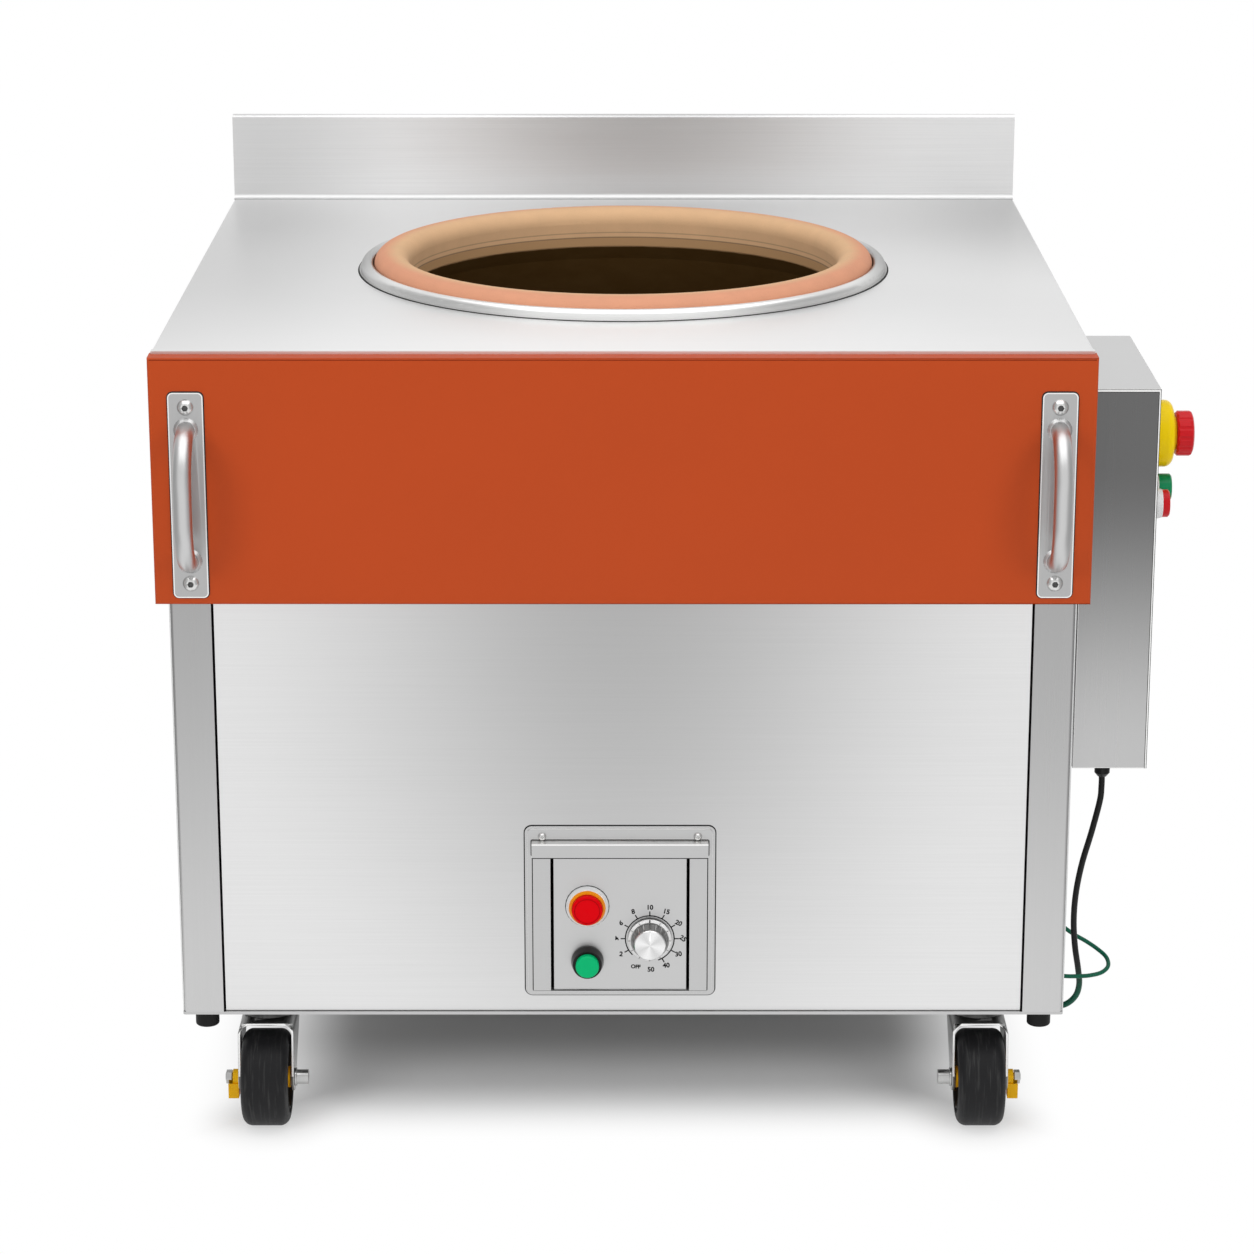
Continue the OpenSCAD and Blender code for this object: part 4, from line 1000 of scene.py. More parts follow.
def paint(
    piece: bpy.types.Object, finish: Finish, chosen: Callable[[bpy.types.MeshPolygon], bool]
) -> None:
    """Gives the faces of a piece that a test picks another finish.

    Args:
        piece: The piece.
        finish: Finish of the chosen faces.
        chosen: The test.
    """
    mesh = piece.data
    mesh.materials.append(finish.material())
    slot = len(mesh.materials) - 1
    for polygon in mesh.polygons:
        if chosen(polygon):
            polygon.material_index = slot


def rounded_node(
    node: str, finish: Finish, width_mm: float, edges: EdgePair | None = None, even: bool = False
) -> bpy.types.Object:
    """Replaces a CAD node by the same solid with its sharp edges broken.

    Args:
        node: The CAD node.
        finish: Its finish.
        width_mm: Width of a broken edge, less where a face is thin.
        edges: Painted highlight and shade of the broken edges, or None for the node's own.
        even: Whether the edges keep their full width all along, which a plain sheet allows.

    Returns:
        The new piece.
    """
    form = merged_form(node)
    edge_weights(form, width_mm)
    name = node + "_dressed"
    piece = link_piece(name, mesh_of(name, form), finish, node)
    bevel = piece.modifiers.new("edges", "BEVEL")
    bevel.width = width_mm * MM
    bevel.segments = 3
    bevel.limit_method = "WEIGHT"
    bevel.use_clamp_overlap = not even
    bevel.harden_normals = True
    if edges is not None:
        piece.data.materials.append(edges.lit.material())
        bevel.material = edges.SLOT
    mesh = evaluated(piece)
    piece.modifiers.clear()
    piece.data = mesh
    if edges is not None:
        paint(piece, edges.turned, edges.is_shaded_edge)
    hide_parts(node)
    return piece


def copied_node(node: str, finish: Finish, sharp_deg: float = SHARP_DEG) -> bpy.types.Object:
    """Replaces a CAD node by a smooth copy, whose faces can take several finishes.

    Args:
        node: The CAD node.
        finish: Its finish.
        sharp_deg: Angle above which its edges stay sharp.

    Returns:
        The new piece.
    """
    name = node + "_dressed"
    piece = link_piece(name, mesh_of(name, merged_form(node), sharp_deg), finish, node)
    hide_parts(node)
    return piece


def dress(**finishes: Finish) -> None:
    """Gives each CAD node that keeps its mesh a finish.

    Args:
        **finishes: The finishes by node.
    """
    for node, finish in finishes.items():
        mesh = frame["nodes"][node].data
        mesh.materials.clear()
        mesh.materials.append(finish.material())
        log.info("%s: dressed as it is", node)


# ---- Finishes of this oven ----

ORANGE = PowderCoat("orange powder coat")
# Painted highlight and painted shade for broken edges and bright lines.
PAINTED_HIGHLIGHT = PolishedSteel("painted highlight edge", tone=0.97, roughness=0.4, cloud=0.02)
PAINTED_EDGE_SHADE = PolishedSteel("painted edge shade", tone=0.1, roughness=0.5, cloud=0.02)
PAINTED_EDGE_LIGHT = EdgePair(PAINTED_HIGHLIGHT, PAINTED_EDGE_SHADE)
CABINET = BrushedSteel("cabinet steel")
# Painted shade: the posts darken towards the top, under the fascia.
POST_STEEL = BrushedSteel(
    "post steel", tone=0.6, grain=Grain.UPRIGHT, grain_depth=0.03, ramp=(150.0, 1.0, 640.0, 0.68)
)
# Painted light and shade: a lighter pool at the front middle, darker patches towards the back left
# and back right.
WORKTOP_STEEL = BrushedSteel(
    "worktop steel",
    tone=0.79,
    roughness=0.38,
    grain_depth=0.03,
    pools=(
        PaintedPool((0.0, -60.0, 830.0), (640.0, 420.0, 400.0), 0.2),
        PaintedPool((-480.0, 450.0, 830.0), (260.0, 700.0, 200.0), -0.2),
        PaintedPool((480.0, 800.0, 830.0), (300.0, 520.0, 200.0), -0.34),
    ),
)
# Painted shade: darker patches in the backsplash's middle and at its left.
SPLASH_STEEL = BrushedSteel(
    "backsplash steel",
    tone=0.86,
    roughness=0.48,
    pools=(
        PaintedPool((36.0, 900.0, 880.0), (330.0, 300.0, 300.0), -0.34),
        PaintedPool((-440.0, 900.0, 880.0), (200.0, 300.0, 300.0), -0.2),
    ),
)
# Painted shade: the backsplash's cove takes a darker steel.
COVE_SHADE_STEEL = BrushedSteel("shaded cove steel", tone=0.66, roughness=0.45)
# Painted shade: the front panel's tone is lowered over a broad area round its middle, fading out
# towards its edges.
FRONT_STEEL = BrushedSteel(
    "front panel steel",
    tone=0.8,
    roughness=0.36,
    grain_depth=0.05,
    pools=(PaintedPool((0.0, 28.0, 600.0), (430.0, 400.0, 700.0), -0.42),),
)
FRAME_STEEL = BrushedSteel("frame steel", tone=0.56, roughness=0.34, grain_depth=0.03)
PLATE_STEEL = BrushedSteel("control plate steel", tone=0.6, roughness=0.4, grain_depth=0.02)
# Painted shade: the tray behind the control plate is near black, so the gaps beside the plate read
# as shadow.
TRAY_SHADE_STEEL = BrushedSteel("shaded tray steel", tone=0.03, roughness=0.6)
# Painted shade: the box's front darkens towards its top.
BOX_STEEL = BrushedSteel(
    "box steel", tone=0.56, grain=Grain.UPRIGHT, grain_depth=0.02, ramp=(370.0, 1.0, 690.0, 0.27)
)
LID_STEEL = BrushedSteel("box lid steel", tone=0.62, roughness=0.36, grain_depth=0.03)
HANDLE_STEEL = BrushedSteel("handle plate steel", 0.48, 0.34, Grain.UPRIGHT, grain_depth=0.03)
TUBE_STEEL = BrushedSteel("handle tube steel", 0.62, 0.38, Grain.UPRIGHT, grain_depth=0.02)
SCREW_STEEL = PolishedSteel("screw steel", tone=0.72, roughness=0.22)
CHROME = PolishedSteel("axle chrome", tone=0.5, roughness=0.14, cloud=0.3)
ZINC = PolishedSteel("zinc plate", tone=0.5, roughness=0.3, cloud=0.3)
# Painted shade: the forks' plated steel is darkened; their front edges take the painted highlight.
SHADED_FORK_ZINC = PolishedSteel("shaded fork plate", tone=0.2, roughness=0.4, cloud=0.4)
DARK_ZINC = PolishedSteel("dark plate", tone=0.16, roughness=0.4, cloud=0.4)
ELEMENT_STEEL = PolishedSteel("oxidised element steel", tone=0.12, roughness=0.5, cloud=0.3)
RIM_CLAY = Clay("rim clay")
POT_CLAY = PotClay("pot clay")
FIREBRICK = Fibre("firebrick", colour=(0.3, 0.2, 0.12))
WOOL = Fibre("mineral wool", colour=(0.5, 0.42, 0.16), scale=320.0)
WHITE = Plastic("white plastic", colour=(0.8, 0.8, 0.8), roughness=0.22)
AMBER = Plastic("amber plastic", colour=(0.9, 0.3, 0.005), roughness=0.25, specular=0.2)
LAMP_RED = Plastic("lamp red", colour=(0.74, 0.0, 0.004), roughness=0.35, specular=0.06)
RED = Plastic("red plastic", colour=(0.62, 0.008, 0.014), roughness=0.3, specular=0.2)
GREEN = Plastic("green plastic", colour=(0.0, 0.48, 0.17), roughness=0.3, specular=0.12)
RUN_GREEN = Plastic("run green", colour=(0.0, 0.27, 0.1), roughness=0.25, specular=0.25)
YELLOW = Plastic("yellow plastic", colour=(0.94, 0.66, 0.0), roughness=0.28, specular=0.15)
WHEEL_YELLOW = Plastic("wheel yellow", colour=(0.92, 0.5, 0.002), roughness=0.35, specular=0.2)
BLACK = Plastic("black plastic", colour=(0.006, 0.006, 0.006), roughness=0.22, specular=0.25)
GREY_PLASTIC = Plastic("grey plastic", colour=(0.05, 0.05, 0.05), roughness=0.5)
TAN_PLASTIC = Plastic("timer plastic", colour=(0.4, 0.3, 0.18), roughness=0.5)
PRINT = Plastic("dial ink", colour=(0.004, 0.004, 0.004), roughness=0.7, specular=0.05)
# Painted shade: a dark orange line under the fascia's top fold.
FOLD_SHADE = Plastic("fold shade", colour=(0.2, 0.018, 0.003), roughness=0.6, specular=0.1)
# Dark joints between parts, partly painted contact shade where they meet.
JOINT_AND_SHADE = Plastic("dark joint", colour=(0.03, 0.03, 0.03), roughness=0.7, specular=0.1)
# Painted shade: a soft grey line on the worktop at the foot of the cove.
COVE_FOOT_SHADE = Plastic("cove foot shade", colour=(0.3, 0.3, 0.3), roughness=0.6, specular=0.1)
# Painted shade for the recesses of the handles' screws.
RECESS_SHADE = Plastic("screw recess shade", colour=(0.14, 0.14, 0.14), roughness=0.6, specular=0.1)
LAMP_LINE = Plastic("lamp line", colour=(0.4, 0.0, 0.002), roughness=0.4, specular=0.06)
SKIRT = Plastic("knob skirt", colour=(0.85, 0.85, 0.85), roughness=0.2, specular=0.6)
KNOB_SIDE = PolishedSteel("knob side", tone=0.32, roughness=0.34, cloud=0.1)
TYRE = Rubber("tyre rubber", colour=(0.007, 0.007, 0.008), scuff=0.3)
FOOT_RUBBER = Rubber("foot rubber", colour=(0.004, 0.004, 0.004))


# ---- Leads and camera, which come first ----


@dataclass
class Lead:
    """A free lead that leaves a gland or a lug and goes back into the oven.

    Attributes:
        node: The CAD solid that it replaces.
        diameter: Its diameter in metres.
        route: Given points in metres from the fascia's front face and the oven's middle.
        finish: Its sheath.
        steps: Steps between two points of the route.
        sides: Sides of the sheath.
    """

    node: str
    diameter: float
    route: Sequence[Point]
    finish: Finish
    steps: int = 8
    sides: int = 20

    def _centreline(self) -> list[Vector]:
        """Draws the smooth curve through the route's points.

        Returns:
            Its points, in the frame's metres.
        """
        points = [ORIGIN + Vector(point) for point in self.route]
        padded = [points[0], *points, points[-1]]
        line = []
        for before, start, end, after in zip(padded, padded[1:], padded[2:], padded[3:]):
            for step in range(self.steps):
                t = step / self.steps
                square = (2 * before - 5 * start + 4 * end - after) * t**2
                cube = (3 * start - before - 3 * end + after) * t**3
                line.append(0.5 * (2 * start + (end - before) * t + square + cube))
        return line + [points[-1]]

    def build(self) -> bpy.types.Object:
        """Returns:
            The lead.
        """
        line = self._centreline()
        lengths = [0.0]
        for first, second in zip(line, line[1:]):
            lengths.append(lengths[-1] + (second - first).length)
        form = bmesh.new()
        layer = form.loops.layers.uv.new("route")
        reach, rings = self.diameter / 2, []
        turns = [math.tau * k / self.sides for k in range(self.sides)]
        side = Vector((0.0, 1.0, 0.0))
        for index, centre in enumerate(line):
            ahead = line[min(index + 1, len(line) - 1)] - line[max(index - 1, 0)]
            ahead.normalize()
            side = (side - ahead * side.dot(ahead)).normalized()
            across = ahead.cross(side)
            spokes = [side * math.cos(turn) + across * math.sin(turn) for turn in turns]
            rings.append([form.verts.new(centre + spoke * reach) for spoke in spokes])
        for index in range(len(rings) - 1):
            for k in range(self.sides):
                marks = ((k, index), (k, index + 1), (k + 1, index + 1), (k + 1, index))
                face = form.faces.new([rings[ring][turn % self.sides] for turn, ring in marks])
                for loop, (turn, ring) in zip(face.loops, marks):
                    loop[layer].uv = (turn / self.sides, lengths[ring] / lengths[-1])
        form.faces.new(rings[0])
        form.faces.new(list(reversed(rings[-1])))
        bmesh.ops.recalc_face_normals(form, faces=form.faces[:])
        mesh = mesh_of(self.node, form, 60.0)
        piece = link_piece(self.node + "_sheath", mesh, self.finish, self.node)
        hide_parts(self.node)
        return piece


POWER_LEAD = Lead(
    node="power_lead",
    diameter=0.0065,
    route=(
        (0.499, 0.19, 0.334), (0.499, 0.19, 0.322), (0.498, 0.191, 0.306), (0.491, 0.195, 0.27),
        (0.483, 0.201, 0.233), (0.4785, 0.207, 0.198), (0.478, 0.214, 0.165), (0.481, 0.221, 0.133),
        (0.4865, 0.229, 0.102), (0.489, 0.236, 0.082), (0.486, 0.242, 0.066), (0.476, 0.248, 0.054),
        (0.461, 0.254, 0.05), (0.444, 0.258, 0.054), (0.429, 0.261, 0.065), (0.416, 0.262, 0.082),
        (0.4095, 0.262, 0.098), (0.408, 0.262, 0.108), (0.408, 0.262, 0.116),
    ),
    finish=LeadSheath("black sheath", (0.006, 0.006, 0.006), (0.0, 0.1, 0.055), (0.56, 0.68)),
)
EARTH_LEAD = Lead(
    node="earth_lead",
    diameter=0.0045,
    route=(
        (0.453, 0.262, 0.188), (0.453, 0.262, 0.182), (0.453, 0.262, 0.176), (0.455, 0.261, 0.165),
        (0.461, 0.2585, 0.153), (0.47, 0.255, 0.143), (0.482, 0.251, 0.1345), (0.496, 0.248, 0.127),
        (0.508, 0.243, 0.12), (0.5165, 0.233, 0.1145), (0.517, 0.219, 0.11), (0.509, 0.208, 0.107),
        (0.496, 0.203, 0.1055), (0.484, 0.202, 0.105), (0.471, 0.202, 0.105),
        (0.458, 0.205, 0.1055), (0.446, 0.211, 0.107), (0.436, 0.219, 0.1105),
        (0.4295, 0.227, 0.117), (0.427, 0.2315, 0.125), (0.427, 0.232, 0.131),
    ),
    finish=LeadSheath("green sheath", (0.0, 0.12, 0.065), (0.0, 0.12, 0.065)),
)


@dataclass
class Camera:
    """The camera at the photograph's viewing angle.

    Attributes:
        place: Millimetres, as at() takes them.
        pitch_deg: Downward tilt.
        focal_px: Focal length in pixels of the full image.
        sensor_mm: Width of its sensor.
        clip: Nearest and farthest distance that it sees, in metres.
    """

    place: Point = (4.0, -3594.0, 1623.0)
    pitch_deg: float = 16.59
    focal_px: float = 3832.0
    sensor_mm: float = 36.0
    clip: tuple[float, float] = (0.1, 60.0)

    def build(self) -> None:
        """Adds the camera and makes it the scene's."""
        data = bpy.data.cameras.new("camera")
        data.sensor_width = self.sensor_mm
        data.lens = self.focal_px / IMAGE_PX * self.sensor_mm
        data.clip_start, data.clip_end = self.clip
        camera = add_object("camera", data)
        camera.location = at(*self.place)
        camera.rotation_euler = (math.radians(90.0 - self.pitch_deg), 0.0, 0.0)
        bpy.context.scene.camera = camera


# ---- Cabinet ----


@dataclass
class Cabinet:
    """Sheet-steel pieces of the cabinet with their broken edges.

    Attributes:
        sheets: Finish, width of a broken edge and edge finishes (painted highlight and shade) of
            each node.
        cove_mm: Height of the backsplash's cove above the worktop.
        cove_lean: Upward part of the normals between which a face belongs to the cove.
        foot_line_mm: Width of the fine shaded line before the cove.
        fold_line_mm: Width of the shaded line under the fascia's top fold.
        fold_drop_mm: How far that line's lower edge lies below the fold's top.
    """

    sheets: dict[str, tuple[Finish, float, EdgePair | None]] = field(
        default_factory=lambda: {
            "base_pan": (FRAME_STEEL, 0.8, PAINTED_EDGE_LIGHT),
            "corner_posts": (POST_STEEL, 0.8, PAINTED_EDGE_LIGHT),
            "left_panel": (CABINET, 0.6, PAINTED_EDGE_LIGHT),
            "right_panel": (CABINET, 0.6, PAINTED_EDGE_LIGHT),
            "back_panel": (CABINET, 0.6, PAINTED_EDGE_LIGHT),
            "front_panel": (FRONT_STEEL, 0.8, PAINTED_EDGE_LIGHT),
            "fascia": (ORANGE, 0.9, None),
            "worktop": (WORKTOP_STEEL, 0.9, PAINTED_EDGE_LIGHT),
            "backsplash": (SPLASH_STEEL, 1.0, PAINTED_EDGE_LIGHT),
        }
    )
    cove_mm: float = 14.0
    cove_lean: tuple[float, float] = (0.15, 0.98)
    foot_line_mm: float = 4.0
    fold_line_mm: float = 0.9
    fold_drop_mm: float = 2.2

    def build(self) -> None:
        """Replaces the nodes by rounded ones, paints shade at the fascia's fold and the
        backsplash's cove, and dresses the hidden frame.
        """
        made = {node: rounded_node(node, *choice) for node, choice in self.sheets.items()}
        drop = self.fold_drop_mm
        # Painted shade line under the fascia's top fold.
        LineWork("fascia_fold_shade", FOLD_SHADE, "fascia").add(
            flat_bar(FASCIA.size.x - 2 * drop, self.fold_line_mm),
            (FASCIA.middle.x, FASCIA.low.y, FASCIA.high.z - drop * MM),
        ).build()
        splash, top = Extent("backsplash"), Extent("worktop").high.z
        least, most = self.cove_lean

        def in_cove(face: bpy.types.MeshPolygon) -> bool:
            """Whether a face belongs to the backsplash's cove."""
            return face.center.z < top + self.cove_mm * MM and least < face.normal.z < most

        # Painted shade: the cove's faces take the darker cove steel.
        paint(made["backsplash"], COVE_SHADE_STEEL, in_cove)
        # Painted shade line on the worktop before the cove.
        LineWork("cove_foot_shade", COVE_FOOT_SHADE, "worktop").add(
            flat_bar(splash.size.x, self.foot_line_mm),
            (splash.middle.x, splash.low.y - self.foot_line_mm * MM, top),
            Facing.TOP,
        ).build()
        dress(base_frame=ZINC, post_feet=FOOT_RUBBER)


@dataclass
class Mouth:
    """The clay mouth, its steel ring, the pot and what heats it.

    Attributes:
        seam_mm: Width of the dark joint round the ring's foot, partly painted contact shade.
        seam_z: Heights above the worktop between which it stands.
        seam_turns: Steps round it.
        end_reach: Half sizes of the painted shade at the ring's left and right ends.
        end_gain: How much darker they are.
    """

    seam_mm: float = 1.6
    seam_z: tuple[float, float] = (0.02, 0.6)
    seam_turns: int = 192
    end_reach: Point = (90.0, 190.0, 60.0)
    end_gain: float = -0.62

    def build(self) -> None:
        """Dresses the nodes, with painted shade at the ring's ends, and adds the dark joint between
        the ring and the worktop, partly painted contact shade.
        """
        ring = Extent("mouth_ring")
        middle, reach = (ring.middle - ORIGIN) / MM, ring.size.x / 2
        # Painted shade: the ring's steel darkens towards its left and right ends.
        ends = tuple(
            PaintedPool((middle.x + side * reach, middle.y, middle.z), self.end_reach, self.end_gain)
            for side in (-1, 1)
        )
        ring_steel = PolishedSteel("ring steel", tone=0.84, roughness=0.3, cloud=0.04, pools=ends)
        dress(mouth_ring=ring_steel)
        foot, rise = self.seam_z
        outer, inner = reach + self.seam_mm, reach + self.seam_mm / 2
        outline = ((reach, foot), (outer, foot), (inner, rise), (reach, rise))
        centre = Vector((ring.middle.x, ring.middle.y, Extent("worktop").high.z))
        # Dark joint round the ring's foot, partly painted contact shade.
        turned_piece(
            "mouth_seam", outline, centre, Facing.TOP, JOINT_AND_SHADE, "mouth_ring", self.seam_turns
        )
        dress(clay_rim=RIM_CLAY, clay_pot=POT_CLAY, insulation=WOOL)
        dress(hearth=FIREBRICK, heater_element=ELEMENT_STEEL)


@dataclass
class Handles:
    """The two bow handles and the screws.

    Attributes:
        screw_span: Distance between the two screws of a handle, in millimetres.
        recess_r: Radius of the recess in a handle's screw.
        plate_t: Thickness of a handle's plate.
        tube_from: Distance from the fascia at which the tube starts.
        corner: Radius of the plate's corners.
        line: Width of the painted highlight on the plate's edge and of the dark joint round it,
            partly painted contact shade.
    """

    screw_span: float = 176.0
    recess_r: float = 2.9
    plate_t: float = 2.0
    tube_from: float = 2.6
    corner: float = 5.0
    line: float = 1.1

    def build(self) -> None:
        """Replaces the handles by rounded ones and dresses the screws."""
        front, line = FASCIA.low.y, self.line
        tube = front - self.tube_from * MM
        screws = []
        for node in ("left_handle", "right_handle"):
            box = Extent(node)
            x, _, z = box.middle
            width, height = box.size.x, box.size.z
            piece = rounded_node(node, HANDLE_STEEL, 1.0, PAINTED_EDGE_LIGHT)
            paint(piece, TUBE_STEEL, lambda face: face.center.y < tube)
            # A dark joint round each plate, partly painted contact shade, and a painted highlight
            # band on the plate's edge.
            LineWork(node + "_joint", JOINT_AND_SHADE, "fascia").add(
                band(width, height, self.corner, line), (x, front, z)
            ).build()
            LineWork(node + "_highlight", PAINTED_HIGHLIGHT, node).add(
                band(width - 2 * line, height - 2 * line, self.corner - line, line),
                (x, front - self.plate_t * MM, z),
            ).build()
            screws += [(x, z + end * self.screw_span / 2 * MM) for end in (-1, 1)]

        def in_recess(face: bpy.types.MeshPolygon) -> bool:
            """Whether a face belongs to the recess of a handle's screw."""
            spot = face.center
            return spot.y < front and any(
                math.hypot(spot.x - x, spot.z - z) < self.recess_r * MM for x, z in screws
            )

        # Painted shade: the faces inside the handles' screw recesses take a dark grey.
        paint(copied_node("panel_screws", SCREW_STEEL), RECESS_SHADE, in_recess)


# ---- Control panel ----


@dataclass
class DialPrint:
    """The printed arc, ticks and plain numbers round the timer knob.

    Attributes:
        radius: Radius of the arc in millimetres.
        line: Width of the arc's line.
        arc_deg: Angles from the top, clockwise, between which it runs.
        arc_steps: Steps along it.
        tick: Length of a tick.
        step_deg: Angle between ticks.
        first_deg: Angle of the first tick.
        ticks: How many there are.
        number_radius: Radius on which the numbers stand.
        number_size: Their size.
        word_share: Share of that size for a word.
        weight: How much their strokes are thickened.
        leans: Shares of its angle by which a number in the upper and lower part leans.
        lower_deg: Angle past which the lower part starts.
        lift_mm: How far the print stands off the plate.
        numbers: Angle and number.
    """

    radius: float = 24.6
    line: float = 1.2
    arc_deg: tuple[float, float] = (-135.0, 160.0)
    arc_steps: int = 120
    tick: float = 4.8
    step_deg: float = 30.0
    first_deg: float = -120.0
    ticks: int = 10
    number_radius: float = 33.5
    number_size: float = 6.9
    word_share: float = 0.8
    weight: float = 0.26
    leans: tuple[float, float] = (0.4, 0.12)
    lower_deg: float = 100.0
    lift_mm: float = 0.05
    numbers: tuple[tuple[float, str], ...] = (
        (-155.0, "OFF"), (-120.0, "2"), (-90.0, "4"), (-60.0, "6"), (-30.0, "8"), (0.0, "10"),
        (30.0, "15"), (60.0, "20"), (90.0, "25"), (120.0, "30"), (150.0, "40"), (178.0, "50"),
    )

    def _arc(self, form: bmesh.types.BMesh) -> None:
        """Adds the arc, from before the first number to past the last.

        Args:
            form: The print so far.
        """
        start, end = self.arc_deg
        rows = []
        for k in range(self.arc_steps + 1):
            angle = math.radians(start + (end - start) * k / self.arc_steps)
            out = Vector((math.sin(angle), math.cos(angle), 0.0)) * MM
            reaches = (self.radius - self.line / 2, self.radius + self.line / 2)
            rows.append([form.verts.new(out * reach) for reach in reaches])
        for first, second in zip(rows, rows[1:]):
            form.faces.new((first[0], first[1], second[1], second[0]))

    def _number(self, form: bmesh.types.BMesh, angle_deg: float, text: str) -> None:
        """Adds one number, upright at the top and turned with the dial elsewhere.

        Args:
            form: The print so far.
            angle_deg: The number's angle from the top, clockwise.
            text: The number.
        """
        curve = bpy.data.curves.new("number", "FONT")
        curve.body = text
        curve.size = self.number_size * (self.word_share if text.isalpha() else 1.0) * MM
        curve.offset = self.weight * MM
        curve.align_x = curve.align_y = "CENTER"
        holder = add_object("number", curve)
        mesh = evaluated(holder)
        bpy.data.objects.remove(holder)
        angle = math.radians(angle_deg)
        upper, lower = self.leans
        lean = -angle * upper
        if abs(angle_deg) >= self.lower_deg:
            lean = (math.copysign(math.pi, angle) - angle) * lower
        out = Vector((math.sin(angle), math.cos(angle), 0.0)) * self.number_radius * MM
        mesh.transform(Matrix.Translation(out) @ Matrix.Rotation(lean, 4, "Z"))
        absorb(form, mesh)

    def build(self, ring: CopyRing) -> bpy.types.Object:
        """Makes the print as one thin piece on the plate.

        Args:
            ring: The tree that repeats the ticks.

        Returns:
            The print.
        """
        form = bmesh.new()
        self._arc(form)
        tick = flat_bar(self.line, self.tick)
        turn = (self.step_deg, self.first_deg)
        absorb(form, ring.mesh(tick, PRINT, self.ticks, self.radius, *turn))
        for angle, text in self.numbers:
            self._number(form, angle, text)
        x, _, z = Extent("timer_knob").middle
        work = LineWork("dial_print", PRINT, "control_plate", "black_plastic")
        work.add(form, (x, Extent("control_plate").low.y, z), lift_mm=self.lift_mm)
        return work.build()


@dataclass
class Knob:
    """The timer's knob: skirt with fine marks, grooved side, spun face and pointer line.

    Attributes:
        side_r: Radius in millimetres at which the side ends and the skirt starts.
        face_depth: Depth below its front at which the face ends.
        sharp_deg: Angle above which its edges stay sharp.
        marks: Fine marks round the skirt.
        mark: Width and length of one.
        mark_r: Radius at which they start.
        pointer: Width and inner and outer radius of the pointer line.
        rise: Height over the plate at which the marks clear the skirt's slope.
    """

    side_r: float = 19.0
    face_depth: float = 0.9
    sharp_deg: float = 25.0
    marks: int = 12
    mark: tuple[float, float] = (0.45, 2.4)
    mark_r: float = 19.7
    pointer: tuple[float, float, float] = (1.1, 19.2, 22.6)
    rise: float = 6.4

    def build(self, ring: CopyRing) -> None:
        """Replaces the knob and adds its marks.

        Args:
            ring: The tree that repeats the marks.
        """
        knob = Extent("timer_knob")
        x, _, z = knob.middle
        face_edge = knob.low.y + self.face_depth * MM
        piece = copied_node("timer_knob", KNOB_SIDE, self.sharp_deg)
        spun = SpunFace("spun knob", centre=tuple(knob.middle))
        paint(piece, spun, lambda face: face.center.y < face_edge)

        def on_skirt(face: bpy.types.MeshPolygon) -> bool:
            """Whether a face lies outside the knob's side."""
            return math.hypot(face.center.x - x, face.center.z - z) / MM > self.side_r

        paint(piece, SKIRT, on_skirt)
        step_deg = 360.0 / self.marks
        form = bmesh.new()
        absorb(form, ring.mesh(flat_bar(*self.mark), PRINT, self.marks, self.mark_r, step_deg))
        width, near, far = self.pointer
        bar = flat_bar(width, far - near)
        bar.transform(Matrix.Translation((0.0, near * MM, 0.0)))
        absorb(form, mesh_of("pointer", bar, None))
        work = LineWork("knob_marks", PRINT, "timer_knob", "black_plastic")
        work.add(form, (x, Extent("control_plate").low.y, z), lift_mm=self.rise).build()


